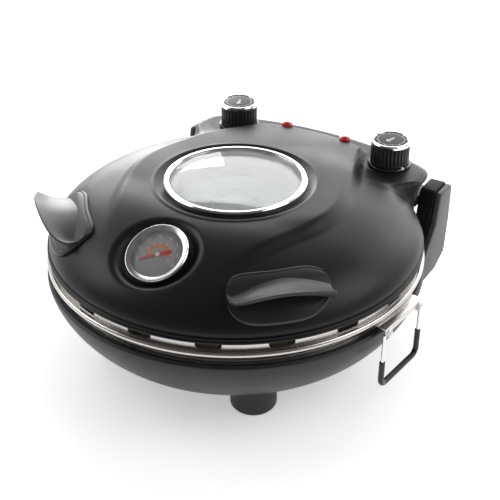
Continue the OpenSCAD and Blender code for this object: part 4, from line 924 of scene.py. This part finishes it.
floorMesh = bmesh.new()
bmesh.ops.create_grid(floorMesh, x_segments=1, y_segments=1, size=6)
floorData = bpy.data.meshes.new("floor")
floorMesh.to_mesh(floorData)
floorMesh.free()
floor = addObject("floor", floorData)
floorPaint = bpy.data.materials.new("floor paint")
floorPaint.use_nodes = True
floorTree = floorPaint.node_tree
floorShader = floorTree.nodes["Principled BSDF"]
for key, value in (("Base Color", (0.86, 0.86, 0.86, 1)), ("Roughness", 0.7), ("Specular IOR Level", 0.1)):
    floorShader.inputs[key].default_value = value
glow = addNode(floorTree, "Emission", {"Color": (1, 1, 1, 1)})
path = addNode(floorTree, "LightPath")
brighter = addNode(floorTree, "Math", {1: 0.42}, operation="MULTIPLY")
summed = addNode(floorTree, "AddShader")
linkUp(floorTree, (seenBy(floorTree, path), brighter.inputs[0]), (brighter.outputs[0], glow.inputs["Strength"]),
       (floorShader.outputs[0], summed.inputs[0]), (glow.outputs[0], summed.inputs[1]),
       (summed.outputs[0], floorTree.nodes["Material Output"].inputs["Surface"]))
floorData.materials.append(floorPaint)

world = scene.world or bpy.data.worlds.new("studio")
scene.world = world
world.use_nodes = True
worldTree = world.node_tree
backdrop = worldTree.nodes["Background"]
backdrop.inputs["Color"].default_value = (1, 1, 1, 1)
seen = addNode(worldTree, "LightPath")
lit = {"plain": 0.5, "backdrop": 1.0, "room": 0.1}
# The backdrop stands behind the oven; the room in front of it and overhead is darker
toward = addNode(worldTree, "TexCoord")
behind = addNode(worldTree, "VectorMath", {1: (-math.sin(azimuth), math.cos(azimuth), 0.0)}, operation="DOT_PRODUCT")
heights = addNode(worldTree, "SeparateXYZ")
rearward = addNode(worldTree, "MapRange", {"From Min": -0.25, "From Max": 0.35}, interpolation_type="SMOOTHSTEP")
lowDown = addNode(worldTree, "MapRange", {"From Min": 0.85, "From Max": 0.4}, interpolation_type="SMOOTHSTEP")
backMask = addNode(worldTree, "Math", operation="MULTIPLY")
roomTone = addNode(worldTree, "MapRange", {"To Min": lit["room"], "To Max": lit["backdrop"]})
strength = addNode(worldTree, "Mix", {2: lit["plain"]}, data_type="FLOAT")
linkUp(worldTree, (toward.outputs["Generated"], behind.inputs[0]),
       (toward.outputs["Generated"], heights.inputs[0]), (behind.outputs["Value"], rearward.inputs["Value"]),
       (heights.outputs["Z"], lowDown.inputs["Value"]), (rearward.outputs["Result"], backMask.inputs[0]),
       (lowDown.outputs["Result"], backMask.inputs[1]), (backMask.outputs[0], roomTone.inputs["Value"]),
       (seenBy(worldTree, seen), strength.inputs["Factor"]), (roomTone.outputs["Result"], strength.inputs[3]))
# The camera itself sees white all round
whole = addNode(worldTree, "Math", operation="MAXIMUM")
linkUp(worldTree, (strength.outputs[0], whole.inputs[0]), (seen.outputs["Is Camera Ray"], whole.inputs[1]),
       (whole.outputs[0], backdrop.inputs["Strength"]))

lights = [{"name": "rear", "at": (-250, 1300, 560), "look": (0, 0, 40), "size": (2400, 1200), "power": 20.0},
          {"name": "low left", "at": (-1000, 900, 300), "look": (0, 0, 60), "size": (600, 500), "power": 7.0},
          {"name": "right", "at": (900, 250, 700), "look": (0, 0, 20), "size": (700, 700), "power": 4.0},
          {"name": "left", "at": (-900, -350, 700), "look": (0, 0, 20), "size": (700, 500), "power": 3.0}]
for item in lights:
    data = bpy.data.lights.new(item["name"], "AREA")
    data.shape = "RECTANGLE"
    data.size, data.size_y = [side * 0.001 for side in item["size"]]
    data.energy = item["power"]
    lightObject = addObject(item["name"], data)
    lightObject.location = toRow @ Vector(item["at"])
    aim = toRow @ Vector(item["look"]) - lightObject.location
    lightObject.rotation_mode = "QUATERNION"
    lightObject.rotation_quaternion = aim.to_track_quat("-Z", "Y")
scene.view_settings.view_transform = "Standard"
print("stage and light ready")
